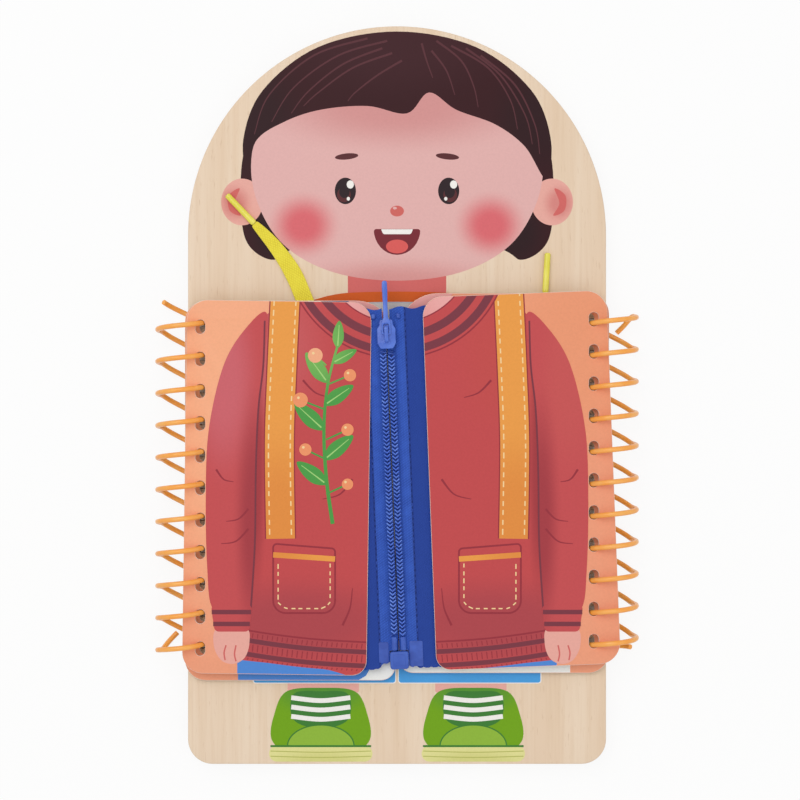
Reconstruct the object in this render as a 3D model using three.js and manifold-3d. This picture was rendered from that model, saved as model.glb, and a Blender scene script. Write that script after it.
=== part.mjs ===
import * as THREE from 'three';
import { mergeVertices } from 'three/addons/utils/BufferGeometryUtils.js';
import Module from 'manifold-3d';

// Dressing skills board, lying on its back: +Y runs to the head end, +Z out of the printed face.
// Two wire coils bind two layers of leaves along the side edges; the front leaves close with a zip,
// the leaves below have buttons and loops, and a flat lace runs through four holes in the board.

// Board
const boardWidth = 170;
const boardLength = 300;
const boardThickness = 5;
const boardCornerRadius = 10;
const boardLift = 4.2;
const boardHoleDiameter = 6;

// Binding coils
const wireDiameter = 2.1;
const coilRadius = 9.6;
const coilAxisOutset = 2.5;
const holesPerSide = 11;
const holeRowMargin = 10.4;
const restFlatShare = 0.1;
const leftStartReturn = 0.7;
const rightStartReturn = 8;
const wireEndReturn = 24;
const wireStartDegrees = 212;
const wireEndDegrees = 255;

// Leaves, all of laminated card
const leafTravel = THREE.MathUtils.degToRad(170);
const leafHoleWidth = 4.2;
const leafHoleLength = 5.6;
const leafHoleClearance = 0.3;
const frontLeafLength = 150.8;
const secondLeafExtraLength = 3.2;
const frontLeaf = { length: frontLeafLength, thickness: 0.9, outerRadius: 8.5, innerTopRadius: 8,
  innerBottomRadius: 6 };
const secondLeaf = { length: frontLeafLength + secondLeafExtraLength, thickness: 0.8, outerRadius: 8.5,
  innerTopRadius: 16, innerBottomRadius: 6 };
const leftLeafMiddleY = -37.4;
const rightLeafMiddleY = -34.4;
const frontLeftInset = 11.3;
const frontRightInset = 13;
const secondLeafInset = 0.6;
const frontLeftHoleMargin = 6.34;
const frontRightHoleMargin = 8.03;
const secondLeafHoleMargin = 8.06;
const secondLeafDrop = 1.3;
const leftLeafEndShift = -1.05;
const rightLeafEndShift = 2.9;

// Lace; each route starts from its upper hole
const laceWidth = 6;
const laceThickness = 1;
const laceHoleDiameter = 7;
const laceHoleSideMargin = 55;
const laceHoleDepth = 34.3;
const laceHoleSpacing = 18;
const laceFoldLength = 4;
const agletDiameter = 2;
const agletLength = 16;
const sectionCornerShare = 0.3;
const laceStepShare = 0.8;
const restGap = 0.3;
const leafOverLaceGap = 0.4;
const leftLaceRoute = [[0, 4.3], [0, 7], [-0.3, 10.5], [-0.9, 14.5], [-1.9, 18.8], [-3.2, 23.2],
  [-4.7, 27.4], [-6.2, 31.2], [-7.7, 35], [-9.3, 39], [-11.2, 43.4], [-13.7, 48], [-16.8, 52.7],
  [-20.4, 57.4], [-24.2, 61.7], [-27.9, 65.6]];
const rightLaceRoute = [[0, 4.3], [0, 6.5], [0.6, 9.6], [2.2, 12.6], [4.8, 15.2], [8, 17.2],
  [11.6, 18.8], [15.2, 20.2], [18.8, 21.7], [22.2, 23.5], [25.2, 25.9], [27.6, 29], [29.2, 32.4],
  [30, 35.4], [30.2, 37.5]];

// Buttons and their elastic loops
const buttonCount = 4;
const buttonTopMargin = 23.3;
const buttonBottomMargin = 31.7;
const buttonDiameter = 14;
const buttonThickness = 2;
const buttonRimWidth = 1.6;
const buttonDish = 0.7;
const buttonHoleDiameter = 1.8;
const buttonHoleSpacing = 3.4;
const buttonHoles = 4;
const buttonEdgeShare = 0.25;
const buttonEdgeMargin = 16.4;
const loopCordDiameter = 1.4;
const loopReach = 15;
const loopWidth = 6.4;
const loopEdgeMargin = 8.4;

// Zip fastener
const layerGap = 0.4;
const zipMiddleX = -1.8;
const zipMiddleY = -37.5;
const zipEndShift = 2.94;
const tapeOuterEdge = 18;
const tapeEndMargin = 2.2;
const tapeThickness = 0.55;
const chainInnerEdge = 0.8;
const chainWidth = 2.1;
const chainHeight = 1.8;
const sliderWidth = 7.5;
const sliderLength = 11.8;
const sliderPlate = 0.8;
const sliderCornerRadius = 2.4;
const sliderShoulderRadius = 1.2;
const sliderWall = 0.5;
const sliderTopInset = 5.2;
const dividerWidth = 0.9;
const dividerLength = 7;
const runningGap = 0.4;
const pinLength = 5.6;
const boxLength = 7.2;
const boxCornerRadius = 0.9;
const stopLength = 2;
const stopWidth = 1.6;
const stopHeight = 1.2;
const filmLength = 11;
const filmWidth = 7.2;
const filmThickness = 0.2;
const bridgeWidth = 1.6;
const bridgeLength = 7;
const bridgeHeight = 2.2;
const bridgeEyeLength = 4.4;
const bridgeEyeHeight = 1.5;
const pullLength = 21.5;
const pullStemWidth = 2.2;
const pullThickness = 0.8;
const pullArmWidth = 0.8;
const pullReach = 4.1;
const pullEyeRadius = 0.4;

// Detail of the faceted curves
const coilStepsPerTurn = 24;
const wireSides = 6;
const boardCurveSteps = 20;
const leafCurveSteps = 5;
const holeCurveSteps = 6;
const slotCurveSteps = 3;
const agletSides = 10;
const buttonSides = 20;
const buttonHoleSides = 6;
const loopBendSteps = 8;
const loopSides = 6;
const cutOverrun = 2;

// Heights and places that follow from the sizes above
const wireRadius = wireDiameter / 2;
const coilAxisX = boardWidth / 2 + coilAxisOutset;
const coilAxisZ = coilRadius + wireRadius - wireDiameter * restFlatShare;
const boardTop = boardLift + boardThickness;
const laceMiddleZ = boardTop + restGap + laceThickness / 2;
const secondLeafBottom = boardTop + restGap + laceThickness + leafOverLaceGap;
const secondLeafTop = secondLeafBottom + secondLeaf.thickness;
const buttonBottom = secondLeafTop + restGap;
const tapeBottom = buttonBottom + buttonThickness + layerGap;
const tapeTop = tapeBottom + tapeThickness;
const frontLeafBottom = tapeTop + restGap;
const chainBottom = tapeTop + restGap;
const chainTop = chainBottom + chainHeight;
const sliderTopZ = chainTop + runningGap + sliderPlate;
const sliderBottomZ = tapeBottom - runningGap - sliderPlate;
const frontLeafMiddleZ = frontLeafBottom + frontLeaf.thickness / 2;
const leftLeafLean = Math.atan2(leftLeafEndShift, frontLeaf.length / 2);
const rightLeafLean = Math.atan2(rightLeafEndShift, frontLeaf.length / 2);
const coilPitch = (frontLeaf.length - 2 * holeRowMargin) / (holesPerSide - 1);
const secondLeafHead = leftLeafMiddleY - secondLeafDrop + secondLeaf.length / 2;
const laceHoleX = boardWidth / 2 - laceHoleSideMargin;
const laceUpperHoleY = secondLeafHead - laceHoleDepth;
const buttonTopY = secondLeafHead - buttonTopMargin;
const buttonPitch = (secondLeaf.length - buttonTopMargin - buttonBottomMargin) / (buttonCount - 1);

const manifoldLibrary = await Module();
manifoldLibrary.setup();

function toSolid(geometry) {
  const bare = geometry.clone();
  bare.deleteAttribute('normal');
  bare.deleteAttribute('uv');
  const merged = mergeVertices(bare);
  return new manifoldLibrary.Manifold(new manifoldLibrary.Mesh({
    numProp: 3,
    vertProperties: new Float32Array(merged.attributes.position.array),
    triVerts: new Uint32Array(merged.index.array),
  }));
}

function fromSolid(solid) {
  const mesh = solid.getMesh();
  const geometry = new THREE.BufferGeometry();
  geometry.setAttribute('position', new THREE.BufferAttribute(new Float32Array(mesh.vertProperties), 3));
  geometry.setIndex(new THREE.BufferAttribute(new Uint32Array(mesh.triVerts), 1));
  geometry.computeVertexNormals();
  return geometry;
}

function addPiece(group, name, geometry, finish) {
  const mesh = new THREE.Mesh(geometry, new THREE.MeshStandardMaterial(finish));
  mesh.name = name;
  group.add(mesh);
  return mesh;
}

function slab(shape, bottom, thickness, curveSegments = leafCurveSteps) {
  const geometry = new THREE.ExtrudeGeometry(shape, { depth: thickness, bevelEnabled: false, curveSegments });
  return geometry.translate(0, 0, bottom);
}

function block(left, right, front, back, bottom, top) {
  const geometry = new THREE.BoxGeometry(right - left, back - front, top - bottom);
  return geometry.translate((left + right) / 2, (front + back) / 2, (bottom + top) / 2);
}

// A rectangle with its own radius at each corner, in the order left bottom, right bottom, right top, left top
function roundedRectangle(left, right, bottom, top, radii) {
  const [leftBottom, rightBottom, rightTop, leftTop] = radii;
  const shape = new THREE.Shape();
  shape.moveTo(left + leftBottom, bottom);
  shape.absarc(right - rightBottom, bottom + rightBottom, rightBottom, -Math.PI / 2, 0);
  shape.absarc(right - rightTop, top - rightTop, rightTop, 0, Math.PI / 2);
  shape.absarc(left + leftTop, top - leftTop, leftTop, Math.PI / 2, Math.PI);
  shape.absarc(left + leftBottom, bottom + leftBottom, leftBottom, Math.PI, Math.PI * 1.5);
  return shape;
}

function roundHole(x, y, diameter) {
  const hole = new THREE.Path();
  hole.absarc(x, y, diameter / 2, 0, Math.PI * 2, true);
  return new THREE.Path(hole.getPoints(holeCurveSteps));
}

function slotHole(x, y, width, length) {
  const hole = new THREE.Path();
  const reach = (length - width) / 2;
  hole.absarc(x, y + reach, width / 2, Math.PI, 0, true);
  hole.absarc(x, y - reach, width / 2, 0, -Math.PI, true);
  return new THREE.Path(hole.getPoints(slotCurveSteps));
}

// Coil: the angle is 0 towards the board and grows over the front, the outer side and the back.
// The wire climbs little where the leaves' holes travel along it, and most of its pitch behind the board.
function angleAtHeight(height) {
  return Math.asin((height - coilAxisZ) / coilRadius);
}

function reachAtHeight(height) {
  return coilRadius * Math.cos(angleAtHeight(height));
}

const turn = 2 * Math.PI;
const restAngle = angleAtHeight(frontLeafMiddleZ);
const backStart = restAngle + leafTravel;
const backEnd = turn + angleAtHeight(boardLift);
const holeSlack = leafHoleLength - wireDiameter - 2 * leafHoleClearance;
const slope = holeSlack / leafTravel;
const backClimb = coilPitch - turn * slope;
const firstWireAngle = THREE.MathUtils.degToRad(wireStartDegrees) - turn;
const lastWireAngle = THREE.MathUtils.degToRad(wireEndDegrees) + (holesPerSide - 1) * turn;
const firstHoleY = (holesPerSide - 1) * coilPitch / 2;

// Both cut ends stay behind the leaves' travel, and the strands next to them lie back towards the coil
function wireAdvance(angle, startReturn) {
  const turnsDone = Math.floor((angle - backStart) / turn);
  const share = Math.min((angle - backStart - turnsDone * turn) / (backEnd - backStart), 1);
  const climbed = share - Math.sin(turn * share) / turn;
  const startShare = turnsDone < 0 ? 1 - climbed : 0;
  const endShare = turnsDone === holesPerSide - 1 ? climbed : 0;
  return slope * angle + backClimb * (turnsDone + climbed) + startReturn * startShare
    - wireEndReturn * endShare;
}

function coilPoint(angle, startReturn = 0) {
  const advance = wireAdvance(angle, startReturn) - wireAdvance(restAngle, startReturn);
  return new THREE.Vector3(coilRadius * Math.cos(angle), firstHoleY + holeSlack / 2 - advance,
    coilAxisZ + coilRadius * Math.sin(angle));
}

function coilRoute(startReturn) {
  const steps = Math.ceil((lastWireAngle - firstWireAngle) / turn * coilStepsPerTurn);
  const points = [];
  for (let step = 0; step <= steps; step += 1) {
    points.push(coilPoint(firstWireAngle + (lastWireAngle - firstWireAngle) * step / steps, startReturn));
  }
  return points;
}

// One unbroken tube with flat ends, its rings carried along the route without twist
function wireTube(points, radius, sides) {
  const positions = [];
  const indices = [];
  const tangents = points.map((point, index) => {
    const before = points[Math.max(index - 1, 0)];
    const after = points[Math.min(index + 1, points.length - 1)];
    return after.clone().sub(before).normalize();
  });
  const across = new THREE.Vector3(0, 1, 0);
  points.forEach((point, index) => {
    across.addScaledVector(tangents[index], -across.dot(tangents[index])).normalize();
    const upright = tangents[index].clone().cross(across);
    for (let side = 0; side < sides; side += 1) {
      const angle = turn * side / sides;
      const corner = point.clone().addScaledVector(across, radius * Math.cos(angle))
        .addScaledVector(upright, radius * Math.sin(angle));
      positions.push(corner.x, corner.y, corner.z);
    }
  });
  for (let ring = 0; ring + 1 < points.length; ring += 1) {
    for (let side = 0; side < sides; side += 1) {
      const here = ring * sides + side;
      const beside = ring * sides + (side + 1) % sides;
      indices.push(here, beside, beside + sides, here, beside + sides, here + sides);
    }
  }
  const lastRing = (points.length - 1) * sides;
  for (let side = 1; side + 1 < sides; side += 1) {
    indices.push(0, side + 1, side, lastRing, lastRing + side, lastRing + side + 1);
  }
  const geometry = new THREE.BufferGeometry();
  geometry.setAttribute('position', new THREE.BufferAttribute(new Float32Array(positions), 3));
  geometry.setIndex(indices);
  return geometry;
}

function leastGap(points, diameter) {
  const halfTurnOn = coilStepsPerTurn / 2;
  let least = Infinity;
  for (let first = 0; first < points.length; first += 1) {
    for (let second = first + halfTurnOn; second < points.length; second += 1) {
      least = Math.min(least, points[first].distanceTo(points[second]));
    }
  }
  return least - diameter;
}

function bindingCoil(startReturn) {
  const route = coilRoute(startReturn);
  console.log(`binding coil: least gap to itself ${leastGap(route, wireDiameter).toFixed(2)} mm`);
  const reach = 2 * coilRadius;
  const below = block(-reach, reach, -boardLength / 2, boardLength / 2, -wireDiameter, 0);
  return fromSolid(toSolid(wireTube(route, wireRadius, wireSides)).subtract(toSolid(below)));
}

// Every layer's holes stand where the wire passes at that layer's height
function leafHoleY(index, height) {
  return coilPoint(angleAtHeight(height) + index * turn).y - holeSlack / 2;
}

function boardHoleX() {
  return coilAxisX - (reachAtHeight(boardLift) + reachAtHeight(boardTop)) / 2;
}

function boardHoleY(index) {
  return coilPoint(angleAtHeight(boardLift + boardThickness / 2) + index * turn).y;
}

function baseBoard() {
  const halfWidth = boardWidth / 2;
  const halfLength = boardLength / 2;
  const shape = new THREE.Shape();
  shape.moveTo(-halfWidth + boardCornerRadius, -halfLength);
  shape.absarc(halfWidth - boardCornerRadius, -halfLength + boardCornerRadius, boardCornerRadius,
    -Math.PI / 2, 0);
  shape.absarc(0, halfLength - halfWidth, halfWidth, 0, Math.PI);
  shape.absarc(-halfWidth + boardCornerRadius, -halfLength + boardCornerRadius, boardCornerRadius,
    Math.PI, Math.PI * 1.5);
  for (let index = 0; index < holesPerSide; index += 1) {
    shape.holes.push(roundHole(-boardHoleX(), leftLeafMiddleY + boardHoleY(index), boardHoleDiameter));
    shape.holes.push(roundHole(boardHoleX(), rightLeafMiddleY - boardHoleY(index), boardHoleDiameter));
  }
  for (const side of [-1, 1]) {
    shape.holes.push(roundHole(side * laceHoleX, laceUpperHoleY, laceHoleDiameter));
    shape.holes.push(roundHole(side * laceHoleX, laceUpperHoleY - laceHoleSpacing, laceHoleDiameter));
  }
  return slab(shape, boardLift, boardThickness, boardCurveSteps);
}

// A leaf is one flat sheet; its outline may lean a little, but its holes stay in line with the coil
function leafSheet(leaf, side, inset, holeMargin, bottom, middleY, drop, lean) {
  const { outerRadius, innerTopRadius, innerBottomRadius } = leaf;
  const height = bottom + leaf.thickness / 2;
  const holeX = coilAxisX - reachAtHeight(height);
  const width = holeX + holeMargin - inset;
  const radii = side < 0 ? [outerRadius, innerBottomRadius, innerTopRadius, outerRadius]
    : [innerBottomRadius, outerRadius, outerRadius, innerTopRadius];
  const shape = roundedRectangle(-width / 2, width / 2, -leaf.length / 2, leaf.length / 2, radii);
  const centre = new THREE.Vector2(side * (inset + width / 2), middleY - drop);
  for (let index = 0; index < holesPerSide; index += 1) {
    const place = new THREE.Vector2(side * holeX, middleY - side * leafHoleY(index, height));
    place.rotateAround(centre, -lean).sub(centre);
    shape.holes.push(slotHole(place.x, place.y, leafHoleWidth, leafHoleLength));
  }
  return slab(shape, bottom, leaf.thickness, leafCurveSteps).rotateZ(lean).translate(centre.x, centre.y, 0);
}

// Lace: its two free ends lie on the face of the board, and between them it runs through the four holes
function flatSection(width, thickness) {
  const corner = thickness * sectionCornerShare;
  const halfWidth = width / 2;
  const halfThickness = thickness / 2;
  return new THREE.Shape([[halfThickness, corner - halfWidth], [halfThickness, halfWidth - corner],
    [halfThickness - corner, halfWidth], [corner - halfThickness, halfWidth],
    [-halfThickness, halfWidth - corner], [-halfThickness, corner - halfWidth],
    [corner - halfThickness, -halfWidth], [halfThickness - corner, -halfWidth],
  ].map(([x, y]) => new THREE.Vector2(x, y)));
}

function laceCurve(side, route) {
  return new THREE.CatmullRomCurve3(
    route.map(([x, y]) => new THREE.Vector3(side * laceHoleX + x, laceUpperHoleY + y, laceMiddleZ)));
}

function laceFreeEnd(side, route) {
  const curve = laceCurve(side, route);
  const steps = Math.ceil(curve.getLength() / (laceWidth * laceStepShare));
  return new THREE.ExtrudeGeometry(flatSection(laceWidth, laceThickness),
    { steps, bevelEnabled: false, extrudePath: curve });
}

function aglet(side, route) {
  const curve = laceCurve(side, route);
  const heading = curve.getTangent(1);
  const geometry = new THREE.CylinderGeometry(agletDiameter / 2, agletDiameter / 2, agletLength, agletSides);
  geometry.rotateZ(Math.atan2(heading.y, heading.x) - Math.PI / 2);
  const middle = curve.getPoint(1).addScaledVector(heading, restGap + agletLength / 2);
  return geometry.translate(middle.x, middle.y, boardTop + restGap + agletDiameter / 2);
}

function polygon(corners) {
  return new THREE.Shape(corners.map(([x, y]) => new THREE.Vector2(x, y)));
}

// From the fold on the face, down the upper hole, along the back and up into the lower hole
function laceRun(side) {
  const top = laceMiddleZ + laceThickness / 2;
  const under = boardLift - restGap;
  const upper = laceUpperHoleY;
  const lower = laceUpperHoleY - laceHoleSpacing;
  const half = laceThickness / 2;
  const meeting = boardLift + boardThickness / 2 - restGap / 2;
  const profile = polygon([[upper + laceFoldLength, top - laceThickness], [upper + laceFoldLength, top],
    [upper - half, top], [upper - half, under], [lower + half, under], [lower + half, meeting],
    [lower - half, meeting], [lower - half, under - laceThickness], [upper + half, under - laceThickness],
    [upper + half, top - laceThickness]]);
  const geometry = slab(profile, -laceWidth / 2, laceWidth);
  return geometry.rotateX(Math.PI / 2).rotateZ(Math.PI / 2).translate(side * laceHoleX, 0, 0);
}

function laceBar() {
  const top = laceMiddleZ + laceThickness / 2;
  const half = laceThickness / 2;
  const meeting = boardLift + boardThickness / 2 + restGap / 2;
  const profile = polygon([[-laceHoleX - half, meeting], [-laceHoleX + half, meeting],
    [-laceHoleX + half, top - laceThickness], [laceHoleX - half, top - laceThickness],
    [laceHoleX - half, meeting], [laceHoleX + half, meeting], [laceHoleX + half, top],
    [-laceHoleX - half, top]]);
  const geometry = slab(profile, -laceWidth / 2, laceWidth);
  return geometry.rotateX(Math.PI / 2).translate(0, laceUpperHoleY - laceHoleSpacing, 0);
}

// Buttons and loops
function shirtButton() {
  const radius = buttonDiameter / 2;
  const edge = buttonThickness * buttonEdgeShare;
  const profile = [[0, 0], [radius - edge, 0], [radius, edge], [radius, buttonThickness - edge],
    [radius - edge, buttonThickness], [radius - buttonRimWidth, buttonThickness],
    [radius - buttonRimWidth - edge, buttonThickness - buttonDish], [0, buttonThickness - buttonDish]];
  const disc = new THREE.LatheGeometry(profile.map(([x, y]) => new THREE.Vector2(x, y)), buttonSides);
  let solid = toSolid(disc.rotateX(Math.PI / 2));
  for (let hole = 0; hole < buttonHoles; hole += 1) {
    const angle = turn * (hole + 0.5) / buttonHoles;
    const drill = new THREE.CylinderGeometry(buttonHoleDiameter / 2, buttonHoleDiameter / 2,
      buttonThickness + 2 * cutOverrun, buttonHoleSides);
    drill.rotateX(Math.PI / 2).translate(buttonHoleSpacing / Math.SQRT2 * Math.cos(angle),
      buttonHoleSpacing / Math.SQRT2 * Math.sin(angle), buttonThickness / 2);
    solid = solid.subtract(toSolid(drill));
  }
  return fromSolid(solid);
}

// An elastic loop with both ends together at the inner edge, lying back on its own leaf
function buttonLoop() {
  const half = (loopWidth - loopCordDiameter) / 2;
  const straight = loopReach - loopWidth / 2;
  const points = [new THREE.Vector3(0, -half, 0)];
  for (let step = 0; step <= loopBendSteps; step += 1) {
    const angle = Math.PI * step / loopBendSteps;
    points.push(new THREE.Vector3(-straight - half * Math.sin(angle), -half * Math.cos(angle), 0));
  }
  points.push(new THREE.Vector3(0, half, 0));
  return wireTube(points, loopCordDiameter / 2, loopSides);
}

// Zip, in its own frame: the chain runs along Y, and the slider stands at the head end
const zipHalf = frontLeaf.length / 2 - tapeEndMargin;
const zipLean = Math.atan2(zipEndShift, zipHalf);
const boxTop = boxLength - zipHalf;
const pinBottom = boxTop + restGap;
const chainStart = pinBottom + pinLength + restGap;
const sliderTop = zipHalf - sliderTopInset;
const sliderBottom = sliderTop - sliderLength;
const chainEnd = sliderBottom - runningGap;
const notchX = sliderWidth / 2 + runningGap;
const pullPivotY = (sliderTop + sliderBottom) / 2;
const pullPivotZ = sliderTopZ + bridgeEyeHeight / 2;

function zipBlock(side, inner, outer, front, back, bottom, top) {
  return block(Math.min(side * inner, side * outer), Math.max(side * inner, side * outer), front, back,
    bottom, top);
}

function zipTape(side) {
  const corners = [[notchX, -zipHalf], [tapeOuterEdge, -zipHalf], [tapeOuterEdge, zipHalf],
    [notchX, zipHalf], [notchX, chainEnd], [chainInnerEdge, chainEnd], [chainInnerEdge, pinBottom],
    [notchX, pinBottom]];
  const placed = corners.map(([x, y]) => [side * x, y]);
  return slab(polygon(side > 0 ? placed : placed.reverse()), tapeBottom, tapeThickness);
}

function zipChain(side) {
  return zipBlock(side, chainInnerEdge, chainInnerEdge + chainWidth, chainStart, chainEnd, chainBottom,
    chainTop);
}

function zipPin(side) {
  return zipBlock(side, chainInnerEdge, chainInnerEdge + chainWidth, pinBottom, pinBottom + pinLength,
    chainBottom, chainTop);
}

function zipBox() {
  const shape = roundedRectangle(-sliderWidth / 2, sliderWidth / 2, -zipHalf, boxTop,
    new Array(4).fill(boxCornerRadius));
  return slab(shape, sliderBottomZ + sliderPlate, sliderTopZ - sliderBottomZ - 2 * sliderPlate);
}

function zipStop(side) {
  return zipBlock(side, notchX, notchX + stopWidth, sliderTop + runningGap,
    sliderTop + runningGap + stopLength, chainBottom, chainBottom + stopHeight);
}

function zipFilm(side) {
  return zipBlock(side, notchX, notchX + filmWidth, -zipHalf, filmLength - zipHalf, chainBottom,
    chainBottom + filmThickness);
}

// Two plates joined by the divider between the chains, with turned-in walls and the bridge for the pull
function sliderBody() {
  const half = sliderWidth / 2;
  const corners = [sliderCornerRadius, sliderCornerRadius, sliderShoulderRadius, sliderShoulderRadius];
  const outline = roundedRectangle(-half, half, sliderBottom, sliderTop, corners);
  const lowerPlate = slab(outline, sliderBottomZ, sliderPlate);
  const upperPlate = slab(outline, sliderTopZ - sliderPlate, sliderPlate);
  const divider = block(-dividerWidth / 2, dividerWidth / 2, sliderTop - dividerLength - sliderWall,
    sliderTop - sliderWall, sliderBottomZ + sliderPlate / 2, sliderTopZ - sliderPlate / 2);
  const bridge = block(-bridgeWidth / 2, bridgeWidth / 2, pullPivotY - bridgeLength / 2,
    pullPivotY + bridgeLength / 2, sliderTopZ - sliderPlate / 2, sliderTopZ + bridgeHeight);
  const eye = block(-sliderWidth, sliderWidth, pullPivotY - bridgeEyeLength / 2,
    pullPivotY + bridgeEyeLength / 2, sliderTopZ, sliderTopZ + bridgeEyeHeight);
  let solid = toSolid(lowerPlate).add(toSolid(upperPlate)).add(toSolid(divider)).add(toSolid(bridge))
    .subtract(toSolid(eye));
  for (const side of [-1, 1]) {
    const wall = zipBlock(side, half - sliderWall, half, sliderBottom + sliderCornerRadius,
      sliderTop - sliderShoulderRadius, chainBottom, sliderTopZ - sliderPlate / 2);
    solid = solid.add(toSolid(wall));
  }
  return fromSolid(solid);
}

function zipPull() {
  const armOuter = bridgeWidth / 2 + restGap + pullArmWidth;
  const ring = roundedRectangle(-armOuter, armOuter, -pullThickness / 2, pullReach + pullArmWidth,
    new Array(4).fill(pullThickness / 2));
  ring.holes.push(new THREE.Path(roundedRectangle(pullArmWidth - armOuter, armOuter - pullArmWidth,
    pullThickness / 2, pullReach, new Array(4).fill(pullEyeRadius)).getPoints(leafCurveSteps).reverse()));
  const stem = roundedRectangle(-pullStemWidth / 2, pullStemWidth / 2, pullReach + pullArmWidth / 2,
    pullLength, [pullEyeRadius, pullEyeRadius, pullStemWidth / 2, pullStemWidth / 2]);
  const solid = toSolid(slab(ring, -pullThickness / 2, pullThickness))
    .add(toSolid(slab(stem, -pullThickness / 2, pullThickness)));
  return fromSolid(solid);
}

const birch = { color: '#E3CAA6', roughness: 0.6 };
const orangeWire = { color: '#F78F33', roughness: 0.3 };
const laminatedCard = { color: '#D9605F', roughness: 0.45 };
const shirtCard = { color: '#8FC4E8', roughness: 0.45 };
const yellowLace = { color: '#EEDC46', roughness: 0.85 };
const clearTip = { color: '#F1E77A', roughness: 0.25 };
const buttonPlastic = { color: '#F4F1E6', roughness: 0.3 };
const loopElastic = { color: '#2A3B66', roughness: 0.8 };
const blueTape = { color: '#2F55B8', roughness: 0.85 };
const blueNylon = { color: '#3562C4', roughness: 0.45 };
const bluePaint = { color: '#3F6FD6', roughness: 0.35, metalness: 0.1 };
const clearFilm = { color: '#4F73C8', roughness: 0.2 };

const model = new THREE.Group();
model.name = 'dressing_skills_board';

addPiece(model, 'base_board', baseBoard(), birch);
addPiece(model, 'left_binding_coil', bindingCoil(leftStartReturn), orangeWire)
  .position.set(-coilAxisX, leftLeafMiddleY, 0);
const rightCoil = addPiece(model, 'right_binding_coil', bindingCoil(rightStartReturn), orangeWire);
rightCoil.rotation.z = Math.PI;
rightCoil.position.set(coilAxisX, rightLeafMiddleY, 0);

addPiece(model, 'lace_free_end_left', laceFreeEnd(-1, leftLaceRoute), yellowLace);
addPiece(model, 'lace_free_end_right', laceFreeEnd(1, rightLaceRoute), yellowLace);
addPiece(model, 'lace_aglet_left', aglet(-1, leftLaceRoute), clearTip);
addPiece(model, 'lace_aglet_right', aglet(1, rightLaceRoute), clearTip);
addPiece(model, 'lace_run_left', laceRun(-1), yellowLace);
addPiece(model, 'lace_run_right', laceRun(1), yellowLace);
addPiece(model, 'lace_front_bar', laceBar(), yellowLace);

addPiece(model, 'second_left_leaf', leafSheet(secondLeaf, -1, secondLeafInset, secondLeafHoleMargin,
  secondLeafBottom, leftLeafMiddleY, secondLeafDrop, 0), shirtCard);
addPiece(model, 'second_right_leaf', leafSheet(secondLeaf, 1, secondLeafInset, secondLeafHoleMargin,
  secondLeafBottom, rightLeafMiddleY, secondLeafDrop, 0), shirtCard);
for (let index = 0; index < buttonCount; index += 1) {
  const y = buttonTopY - index * buttonPitch;
  addPiece(model, `shirt_button_${index + 1}`, shirtButton(), buttonPlastic)
    .position.set(secondLeafInset + buttonEdgeMargin, y, buttonBottom);
  addPiece(model, `button_loop_${index + 1}`, buttonLoop(), loopElastic)
    .position.set(-secondLeafInset - loopEdgeMargin, y, buttonBottom + loopCordDiameter / 2);
}

addPiece(model, 'front_left_leaf', leafSheet(frontLeaf, -1, frontLeftInset, frontLeftHoleMargin,
  frontLeafBottom, leftLeafMiddleY, 0, leftLeafLean), laminatedCard);
addPiece(model, 'front_right_leaf', leafSheet(frontLeaf, 1, frontRightInset, frontRightHoleMargin,
  frontLeafBottom, rightLeafMiddleY, 0, rightLeafLean), laminatedCard);

const zip = new THREE.Group();
zip.position.set(zipMiddleX, zipMiddleY, 0);
zip.rotation.z = zipLean;
model.add(zip);
for (const [side, label] of [[-1, 'left'], [1, 'right']]) {
  addPiece(zip, `zip_tape_${label}`, zipTape(side), blueTape);
  addPiece(zip, `zip_chain_${label}`, zipChain(side), blueNylon);
  addPiece(zip, `zip_top_stop_${label}`, zipStop(side), blueNylon);
  addPiece(zip, `zip_film_${label}`, zipFilm(side), clearFilm);
}
addPiece(zip, 'zip_insertion_pin', zipPin(-1), blueNylon);
addPiece(zip, 'zip_retaining_pin', zipPin(1), blueNylon);
addPiece(zip, 'zip_retaining_box', zipBox(), blueNylon);
addPiece(zip, 'zip_slider', sliderBody(), bluePaint);
addPiece(zip, 'zip_pull', zipPull(), bluePaint).position.set(0, pullPivotY, pullPivotZ);

export default model;
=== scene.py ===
import math

import bmesh
import bpy
from mathutils import Matrix, Vector


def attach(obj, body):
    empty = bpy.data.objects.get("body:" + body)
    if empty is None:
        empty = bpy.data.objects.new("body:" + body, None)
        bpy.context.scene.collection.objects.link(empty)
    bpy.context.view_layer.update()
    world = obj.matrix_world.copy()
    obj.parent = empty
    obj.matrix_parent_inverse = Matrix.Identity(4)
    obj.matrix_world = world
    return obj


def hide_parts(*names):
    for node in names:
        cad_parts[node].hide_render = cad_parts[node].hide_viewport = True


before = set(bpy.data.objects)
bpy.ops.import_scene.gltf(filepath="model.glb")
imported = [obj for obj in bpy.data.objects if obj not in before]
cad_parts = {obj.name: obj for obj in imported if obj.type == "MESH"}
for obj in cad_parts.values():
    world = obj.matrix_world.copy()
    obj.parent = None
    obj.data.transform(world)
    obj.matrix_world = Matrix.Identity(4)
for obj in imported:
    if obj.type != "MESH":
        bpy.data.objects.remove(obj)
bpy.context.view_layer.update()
mm = 0.001
weldDistance = 1e-7
fullTurn = 2 * math.pi
upward = Vector((0, 0, 1))
print("frame loaded")


# Camera, light and floor

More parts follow.
